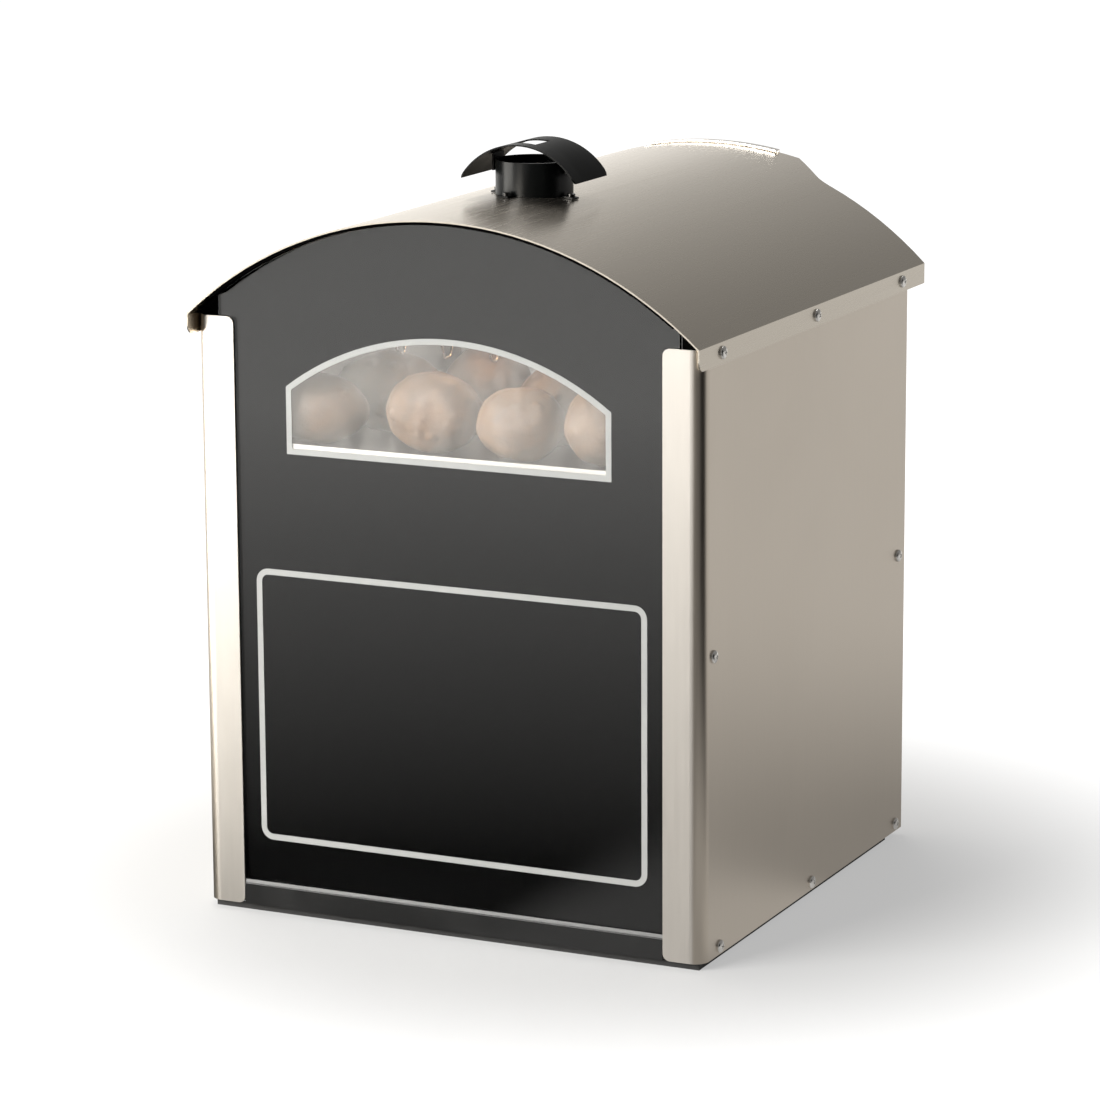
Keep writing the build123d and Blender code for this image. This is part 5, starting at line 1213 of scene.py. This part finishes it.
@dataclass
class Display(SubAssembly):
    """The heated compartment behind the window: liner, lamp, guard and potatoes."""

    deck_z: float = 393.0
    potatoes: tuple[Potato, ...] = (
        Potato(-135.0, -176.0, 29.0, 42.0, 28.9, 12.0),
        Potato(-30.7, -173.8, 33.1, 44.0, 33.0, -6.0),
        Potato(49.9, -181.4, 30.1, 37.0, 30.0, 12.0),
        Potato(119.9, -173.0, 33.1, 36.0, 33.0, 90.0),
        Potato(-106.1, -108.0, 34.1, 44.0, 34.0, 20.0),
        Potato(-25.0, -88.0, 37.1, 40.0, 37.0, 90.0),
        Potato(46.0, -110.0, 33.1, 36.0, 33.0, -70.0),
        Potato(120.0, -98.0, 33.1, 37.0, 33.0, 15.0),
        Potato(175.3, -151.0, 25.1, 38.0, 25.0, 90.0),
        Potato(-176.0, -122.0, 24.1, 32.0, 24.0, 90.0),
    )

    def __post_init__(self) -> None:
        """Lists the nodes that keep their shape."""
        self.nodes = {
            "display_liner": "liner_steel", "lamp_reflector": "reflector_aluminium",
            "lamp_holders": "lamp_ceramic", "lamp_tube": "lamp_glass",
            "lamp_guard": "guard_wire",
        }

    def potato(self, number: int, it: Potato) -> bpy.types.Object:
        """Models one potato: an egg form with shallow hollows and eyes.

        Args:
            number: its number, which also seeds its shape.
            it: its place and sizes.
        Returns:
            The potato.
        """
        b = self.bench
        rng = random.Random(40 + number)
        b.clear()
        bpy.ops.mesh.primitive_ico_sphere_add(subdivisions=6, radius=1.0)
        piece = bpy.context.object
        lumps = bpy.data.textures.new(f"lumps_{number}", "CLOUDS")
        lumps.noise_scale = 0.95
        lumps.noise_depth = 1
        b.clear()
        bpy.ops.object.empty_add(location=(rng.uniform(3, 40), rng.uniform(3, 40), number * 3.1))
        origin = bpy.context.object
        b.modify(piece, "DISPLACE", texture=lumps, texture_coords="OBJECT",
                 texture_coords_object=origin, strength=0.16, mid_level=0.5)
        dents = bpy.data.textures.new(f"dents_{number}", "CLOUDS")
        dents.noise_scale = 0.34
        dents.noise_depth = 2
        b.modify(piece, "DISPLACE", texture=dents, texture_coords="OBJECT",
                 texture_coords_object=origin, strength=0.03, mid_level=0.5)
        bpy.data.objects.remove(origin)
        with b.editing(piece):
            bpy.ops.mesh.select_mode(type="VERT")
            for _ in range(7):
                spot = Vector((rng.gauss(0, 1), rng.gauss(0, 1), rng.gauss(0, 1))).normalized()
                mesh = bmesh.from_edit_mesh(piece.data)
                mesh.verts.ensure_lookup_table()
                eye = max(mesh.verts, key=lambda v: v.co.normalized().dot(spot))
                for vert in mesh.verts:
                    vert.select_set(vert is eye)
                mesh.select_flush(True)
                bmesh.update_edit_mesh(piece.data)
                bpy.ops.transform.shrink_fatten(
                    value=0.055, use_proportional_edit=True, proportional_size=0.17,
                    proportional_edit_falloff="SMOOTH")
                bpy.ops.mesh.select_all(action="DESELECT")
        self.fit(piece, it, rng)
        return b.finish(piece, f"potato_{number:02d}", "cabinet", "potato_skin",
                        ["display_potatoes"], smooth=180.0)

    def fit(self, piece: bpy.types.Object, it: Potato, rng: random.Random) -> None:
        """Scales the lumpy form to the potato's sizes and lays it in its place.

        Args:
            piece: the form, about 1 in radius.
            it: the potato's place and sizes.
            rng: its random numbers.
        """
        b = self.bench
        with b.editing(piece):
            bpy.ops.mesh.select_all(action="SELECT")
            turn = rng.uniform(0, 6.28)
            bpy.ops.transform.rotate(value=turn, orient_axis="X", center_override=(0, 0, 0))
        corners = [Vector(c) for c in piece.bound_box]
        low = Vector([min(c[i] for c in corners) for i in range(3)])
        high = Vector([max(c[i] for c in corners) for i in range(3)])
        middle, half = (low + high) / 2, (high - low) / 2
        sizes = (it.half_length, it.half_thickness * rng.uniform(0.97, 1.0), it.half_thickness)
        scale = Matrix.Diagonal([s * MM / h for s, h in zip(sizes, half)] + [1.0])
        centre = Vector((it.x, it.y, self.deck_z + it.height)) * MM
        place = Matrix.Translation(centre) @ Matrix.Rotation(math.radians(it.turn), 4, "Z")
        piece.data.transform(place @ scale @ Matrix.Translation(-middle))

    def build(self) -> None:
        """Dresses the compartment and lays the potatoes."""
        self.dress()
        for number, it in enumerate(self.potatoes, 1):
            self.potato(number, it)


# ---------------------------------------------------------------- oven
@dataclass
class Oven(SubAssembly):
    """The oven compartment with its heat, fan, racks and insulation."""

    def __post_init__(self) -> None:
        """Lists the nodes that keep their shape."""
        self.nodes = {
            "oven_liner": "oven_steel",
            "heating_element": "element_sheath", "fan_motor": "motor_paint",
            "fan_shaft": "shaft_steel", "fan_wheel": "wheel_aluminium",
            "fan_baffle": "oven_steel", "rack_runners": "oven_steel", "oven_racks": "rack_wire",
            "crumb_tray": "tray_enamel", "thermostat_bulb": "bulb_copper",
        }

    def build(self) -> None:
        """Dresses the oven and lays its mineral wool."""
        self.dress()
        self.bench.wool("oven_insulation", "oven_wool", "cabinet")


@dataclass
class Doors(SubAssembly):
    """Both rear doors with their hinges and catches."""

    def __post_init__(self) -> None:
        """Lists the nodes that keep their shape."""
        self.nodes = {
            "oven_door_skin": "door_steel", "oven_door_inner": "door_inner_steel",
            "oven_door_seal": "seal_silicone",
            "oven_door_handle": "handle_steel", "oven_door_bushes": "bush_brass",
            "display_door_frame": "frame_aluminium", "display_door_glass": "clear_glass",
            "display_door_handle": "handle_steel", "hinge_brackets": "bracket_steel",
            "hinge_pins": "pin_steel", "door_catches": "catch_plastic",
        }

    def build(self) -> None:
        """Dresses the doors and fills the oven door with its wool."""
        self.dress()
        self.bench.wool("oven_door_core", "oven_door_wool", "oven_door")


@dataclass
class Controls(SubAssembly):
    """Dials, switches, pilot lamp and mains connection, with the dials' scales."""

    dial_z: float = 50.0
    panel_y: float = 218.0
    thermostat_x: float = 60.0
    timer_x: float = -20.0
    oven_switch_x: float = 118.0
    lamp_switch_x: float = 152.0
    knob_r: float = 20.0

    def __post_init__(self) -> None:
        """Lists the nodes that keep their shape."""
        self.nodes = {
            "thermostat_body": "control_plastic", "timer_body": "control_plastic",
            "switch_housings": "switch_plastic", "oven_switch_rocker": "rocker_green",
            "lamp_switch_rocker": "rocker_amber", "pilot_lamp": "lens_red",
            "mains_inlet": "inlet_plastic", "inlet_pins": "contact_brass",
            "terminal_block": "terminal_plastic",
        }

    def around(self, x: float, radius: float, angle: float) -> tuple[float, float]:
        """A place round a dial.

        Args:
            x: the dial's axis.
            radius: distance from the axis.
            angle: clockwise from the top for whoever faces the panel, in degrees.
        Returns:
            Its x and z in millimetres.
        """
        turn = math.radians(angle)
        return x - radius * math.sin(turn), self.dial_z + radius * math.cos(turn)

    def dial(self, name: str, body: str, x: float) -> None:
        """Models one dial: skirt, fluted body, grip bar, shaft and white pointer.

        Args:
            name: the frame's node that it stands for, and its name's start.
            body: the body that it rides on.
            x: its axis.
        """
        b = self.bench
        z, foot = self.dial_z, self.panel_y + 2.0
        knob = b.cylinder(self.knob_r, 4.2, (x, foot + 2.1, z), Axis.Y, sides=96)
        with b.editing(knob):
            b.faces(knob, lambda c, n: n.y > 0.9)
            bpy.ops.mesh.inset(thickness=3.6 * MM)
            bpy.ops.transform.translate(value=(0, 0.8 * MM, 0))
            bpy.ops.mesh.extrude_region_move(TRANSFORM_OT_translate={"value": (0, 8.0 * MM, 0)})
            bpy.ops.transform.resize(value=(0.93, 1.0, 0.93),
                                     center_override=(x * MM, (foot + 13) * MM, z * MM))
            bpy.ops.mesh.inset(thickness=2.2 * MM)
            bpy.ops.transform.translate(value=(0, -0.5 * MM, 0))
            b.faces(knob, lambda c, n: abs(n.y) < 0.4 and c.y > (foot + 6) * MM and int(
                math.degrees(math.atan2(c.z - z * MM, c.x - x * MM)) // 7.5) % 2 == 0)
            bpy.ops.transform.shrink_fatten(value=-0.5 * MM)
        b.rounded(knob, 0.35, 2, 50.0)
        grip = b.block((7.0, 12.6, 2 * self.knob_r * 0.85), (x, foot + 10.5, z))
        with b.editing(grip):
            b.faces(grip, lambda c, n: n.y > 0.9)
            bpy.ops.transform.resize(value=(0.72, 1.0, 0.94),
                                     center_override=(x * MM, (foot + 16.8) * MM, z * MM))
        b.rounded(grip, 1.1, 3)
        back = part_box(name)[0][1] / MM
        shaft = b.cylinder(3.0, foot + 1.0 - back, (x, (foot + 1.0 + back) / 2, z), Axis.Y, 32)
        b.rounded(shaft, 0.4)
        b.finish(b.merged([knob, grip, shaft]), name + "_fluted", body, "knob_plastic", [name])
        line = b.block((1.3, 0.4, 11.0), (x, foot + 16.8, z + 9.5))
        b.rounded(line, 0.15)
        b.finish(line, name + "_pointer", body, "mark_white", slot="knob_plastic")

    def scale(self, name: str, x: float, marks: Sequence[str], sweep: float) -> None:
        """Prints a dial's scale on the panel.

        Args:
            name: the piece's name.
            x: the dial's axis.
            marks: the numbers, clockwise from the top.
            sweep: the dial's range in degrees.
        """
        b = self.bench
        pieces = []
        step = sweep / (len(marks) - 1)
        for number, mark in enumerate(marks):
            at_x, at_z = self.around(x, 27.3, number * step)
            pieces.append(b.words(mark, 5.4, (at_x, self.panel_y + 0.06, at_z)))
        for number in range(2 * len(marks) - 1):
            length = 2.0 if number % 2 == 0 else 1.2
            angle = number * step / 2
            tick = b.block((0.6, 0.12, length), (x, self.panel_y + 0.06, self.dial_z + 22.3))
            turn = Matrix.Translation((x * MM, 0, self.dial_z * MM))
            turn = turn @ Matrix.Rotation(math.radians(-angle), 4, "Y")
            turn = turn @ Matrix.Translation((-x * MM, 0, -self.dial_z * MM))
            tick.data.transform(turn)
            pieces.append(b.rounded(tick, 0.05, 1))
        b.finish(b.merged(pieces), name, "cabinet", "dial_ink", slot="knob_plastic", smooth=None)

    def rocker_marks(self, name: str, body: str, x: float) -> None:
        """Raises the on and off marks on a rocker, which rests on its off side.

        Args:
            name: the piece's name.
            body: the rocker's body.
            x: the rocker's middle.
        """
        b = self.bench
        pivot = self.panel_y - 4.0
        pieces = []
        for mark, out, tilt in (("I", 6.0, -19.9), ("O", -6.0, 0.0)):
            lean = math.radians(-10.0)
            y = pivot + 7.05 * math.cos(lean) - out * math.sin(lean)
            z = self.dial_z + 7.05 * math.sin(lean) + out * math.cos(lean)
            piece = b.words(mark, 5.0, (x, y, z), 0.3)
            turn = Matrix.Translation((0, y * MM, z * MM))
            turn = turn @ Matrix.Rotation(math.radians(tilt), 4, "X")
            piece.data.transform(turn @ Matrix.Translation((0, -y * MM, -z * MM)))
            pieces.append(piece)
        b.finish(b.merged(pieces), name, body, "mark_white", slot="knob_plastic", smooth=None)

    def build(self) -> None:
        """Dresses the controls, and models the dials, their scales and the switch marks."""
        self.dress()
        self.dial("thermostat_knob", "thermostat_dial", self.thermostat_x)
        self.dial("timer_knob", "timer_dial", self.timer_x)
        self.scale("thermostat_scale", self.thermostat_x,
                   ("0", "50", "100", "150", "200", "250"), 300.0)
        self.scale("timer_scale", self.timer_x, ("0", "10", "20", "30", "40", "50", "60"),
                   330.0)
        self.rocker_marks("oven_switch_marks", "oven_rocker", self.oven_switch_x)
        self.rocker_marks("lamp_switch_marks", "lamp_rocker", self.lamp_switch_x)


@dataclass
class Chimney(SubAssembly):
    """The black steam outlet with its hood and screws."""

    def __post_init__(self) -> None:
        """Lists the nodes that keep their shape."""
        self.nodes = {
            "chimney_stub": "stub_black", "chimney_hood": "chimney_black",
            "chimney_screws": "black_screw",
        }


# ---------------------------------------------------------------- studio
@dataclass(frozen=True)
class Lobe:
    """A soft bright area of the studio, seen in reflections."""

    towards: Point
    light: float
    inner: float
    outer: float


@dataclass(frozen=True)
class Sector:
    """Painted reflection: how bright the floor looks in reflections, to one side of the object.

    The floor goes from one brightness near the object to another far from it, evenly
    between two distances in metres.
    """

    towards: Point
    outer: float
    inner: float
    near: float
    far: float
    near_light: float
    far_light: float


@dataclass
class Studio:
    """Pale floor, soft lamps and the picture's camera."""

    azimuth: float = 25.42
    elevation: float = 12.33
    roll: float = -0.335
    distance: float = 3.7411
    focal_pixels: float = 4354.0
    picture: float = 1100.0
    across: float = -0.01209
    upwards: float = 0.26754
    stand: float = 0.006
    lobes: tuple[Lobe, ...] = (
        Lobe((-0.55, 0.83, -0.05), 0.44, 1.1, 0.6),
        Lobe((-0.55, 0.83, -0.05), 0.46, 1.0, 0.9),
        Lobe((0.9, -0.43, 0.0), -0.24, 0.95, 0.55),
    )
    ambient: float = 0.22
    sectors: tuple[Sector, ...] = (
        Sector((-0.55, 0.83, 0.0), 0.5, 0.9, 1.2, 4.0, 0.7, 1.3),
        Sector((-0.43, -0.9, 0.0), 0.3, 0.75, 0.45, 2.6, 0.01, 1.25),
        Sector((0.9, -0.43, 0.0), 0.72, 0.95, 0.5, 0.85, 0.55, 0.01),
        Sector((0.5, -0.87, 0.0), 0.85, 0.97, 0.45, 0.9, 0.38, 0.17),
    )

    # A painted bright patch on the floor, seen only in reflections.
    patch_at: Point = (0.56, -0.40, 0.0)
    patch_inner: float = 0.2
    patch_outer: float = 0.42
    patch_light: float = 0.5

    def camera(self) -> None:
        """Sets the camera where the picture was taken from."""
        az, el, roll = (math.radians(v) for v in (self.azimuth, self.elevation, self.roll))
        back = Vector((math.sin(az) * math.cos(el), -math.cos(az) * math.cos(el), math.sin(el)))
        right = (-back).cross(Vector((0, 0, 1))).normalized()
        up = right.cross(-back).normalized()
        side = math.cos(roll) * right + math.sin(roll) * up
        over = -math.sin(roll) * right + math.cos(roll) * up
        lens = bpy.data.cameras.new("picture_camera")
        lens.sensor_fit = "AUTO"
        lens.sensor_width = 36.0
        lens.lens = self.focal_pixels / self.picture * lens.sensor_width
        lens.clip_end = 60.0
        lens.dof.use_dof = False
        camera = bpy.data.objects.new("picture_camera", lens)
        bpy.context.scene.collection.objects.link(camera)
        spot = back * self.distance + side * self.across + over * self.upwards
        spot += Vector((0, 0, self.stand))
        turn = Matrix((side, over, back)).transposed().to_4x4()
        camera.matrix_world = Matrix.Translation(spot) @ turn
        bpy.context.scene.camera = camera

    def floor(self) -> None:
        """Lays the pale floor. It shows white to the camera but keeps the shadow, with painted shade
        that grows toward the object's base. To glossy rays it shows painted reflections: a brightness
        that changes with side and distance from the object, and a painted bright patch to the front
        right.
        """
        bpy.ops.object.select_all(action="DESELECT")
        bpy.ops.mesh.primitive_plane_add(size=40.0, location=(0, 0, 0))
        plane = bpy.context.object
        plane.name = "studio_floor"
        material = bpy.data.materials.new("floor_paper")
        material.use_nodes = True
        material.node_tree.nodes.clear()
        w = Wiring(material.node_tree)
        where = w.place()
        path = w.node("LightPath")
        reach = w.vector("LENGTH", where).outputs["Value"]
        tone = w.spread(w.noise(where, 3.0, 2.0), 0.3, 0.7, 0.79, 0.81)
        tone = w.maths("MULTIPLY", tone, w.spread(path.outputs["Is Camera Ray"], 0, 1, 1.0,
                                                  0.30, False))
        paper = w.node("BsdfDiffuse", {"Color": w.node("CombineColor", {
            0: tone, 1: w.maths("MULTIPLY", tone, 0.992), 2: w.maths("MULTIPLY", tone, 0.975)
        }).outputs[0]})
        seen = w.maths("MAXIMUM", path.outputs["Is Camera Ray"],
                       path.outputs["Is Transmission Ray"])
        # Painted shade: the white lift for the camera is smaller near the object.
        lift_with_painted_shade = w.node("Emission", {"Color": (1.0, 1.0, 1.0), "Strength": w.maths(
            "MULTIPLY", seen, w.spread(reach, 0.28, 0.72, 0.45, 1.0))})
        shown = w.node("AddShader", {0: paper.outputs[0], 1: lift_with_painted_shade.outputs[0]})
        way = w.vector("NORMALIZE", where).outputs[0]
        light: Value = w.spread(reach, 0.42, 1.08, 0.35, 0.7, False)
        for sector in self.sectors:
            aim = tuple(Vector(sector.towards).normalized())
            facing = w.vector("DOT_PRODUCT", way, aim).outputs["Value"]
            share = w.spread(facing, sector.outer, sector.inner)
            there = w.spread(reach, sector.near, sector.far, sector.near_light,
                             sector.far_light, False)
            light = w.node("Mix", {0: share, 2: light, 3: there}).outputs[0]
        off = w.vector("DISTANCE", where, self.patch_at).outputs["Value"]
        light = w.maths("MAXIMUM", light, w.spread(off, self.patch_inner, self.patch_outer,
                                                   self.patch_light, 0.0))
        # Painted reflections: the floor's brightness for glossy rays, by side and distance.
        painted_reflection = w.node("Emission", {"Color": (1.0, 0.985, 0.96), "Strength": light})
        both = w.node("MixShader", {0: path.outputs["Is Glossy Ray"], 1: shown.outputs[0],
                                    2: painted_reflection.outputs[0]})
        w.node("OutputMaterial", {"Surface": both.outputs[0]})
        plane.data.materials.append(material)

    def surroundings(self) -> None:
        """Builds the world: plain white to the camera, soft and uneven to the metal."""
        world = bpy.data.worlds.new("studio")
        bpy.context.scene.world = world
        world.use_nodes = True
        world.node_tree.nodes.clear()
        w = Wiring(world.node_tree)
        way = w.node("TexCoord").outputs["Generated"]
        total: Value = self.ambient
        for lobe in self.lobes:
            aim = Vector(lobe.towards).normalized()
            close = w.vector("DOT_PRODUCT", way, tuple(aim)).outputs["Value"]
            total = w.maths("ADD", total, w.spread(close, lobe.outer, lobe.inner, 0.0,
                                                   lobe.light))
        path = w.node("LightPath")
        seen = w.maths("MAXIMUM", path.outputs["Is Camera Ray"],
                       path.outputs["Is Transmission Ray"])
        total = w.maths("MAXIMUM", total, 0.0)
        soft = w.node("Background", {"Color": (1.0, 0.985, 0.96), "Strength": total})
        plain = w.node("Background", {"Color": (1.0, 1.0, 1.0), "Strength": 1.0})
        both = w.node("MixShader", {0: seen, 1: soft.outputs[0], 2: plain.outputs[0]})
        w.node("OutputWorld", {"Surface": both.outputs[0]})

    def lamp(self, name: str, at: Point, size: tuple[float, float], watts: float,
             aim: Point = (0.0, 0.0, 0.3), colour: Colour = (1.0, 0.99, 0.97)) -> None:
        """Hangs one soft box.

        Args:
            name: its name.
            at: where it hangs, in metres.
            size: its width and height in metres.
            watts: its power.
            aim: the point that it faces.
            colour: its colour.
        """
        data = bpy.data.lights.new(name, "AREA")
        data.shape = "RECTANGLE"
        data.size, data.size_y = size
        data.energy = watts
        data.color = colour
        lamp = bpy.data.objects.new(name, data)
        bpy.context.scene.collection.objects.link(lamp)
        way = Vector(aim) - Vector(at)
        lamp.matrix_world = Matrix.Translation(at) @ way.to_track_quat("-Z", "Y").to_matrix().to_4x4()
        lamp.visible_camera = False

    def build(self) -> None:
        """Sets the whole studio up."""
        self.camera()
        self.floor()
        self.surroundings()
        self.lamp("key_box", (-1.3, 0.9, 2.8), (2.4, 2.4), 80.0)
        self.lamp("front_box", (-1.55, -2.6, 1.9), (2.0, 1.9), 178.0, (0.0, 0.0, 0.4))
        self.lamp("left_box", (-1.3, -0.85, 0.22), (0.9, 0.4), 15.0, (-0.2, -0.22, 0.12),
                  (1.0, 0.97, 0.9))
        view = bpy.context.scene.view_settings
        view.view_transform = "Standard"


def main() -> None:
    """Builds, dresses and lights the oven."""
    logging.basicConfig(level=logging.INFO, format="%(name)s: %(message)s")
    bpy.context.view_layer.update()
    Studio().build()
    bench = Bench(FinishBook(Effects()))
    parts: list[SubAssembly] = [Cabinet(bench), FrontWindow(bench), Display(bench), Oven(bench),
                                Doors(bench), Controls(bench), Chimney(bench)]
    for part in parts:
        part.build()
    log.info("%d new pieces", bench.count)


if __name__ == "__main__":
    main()
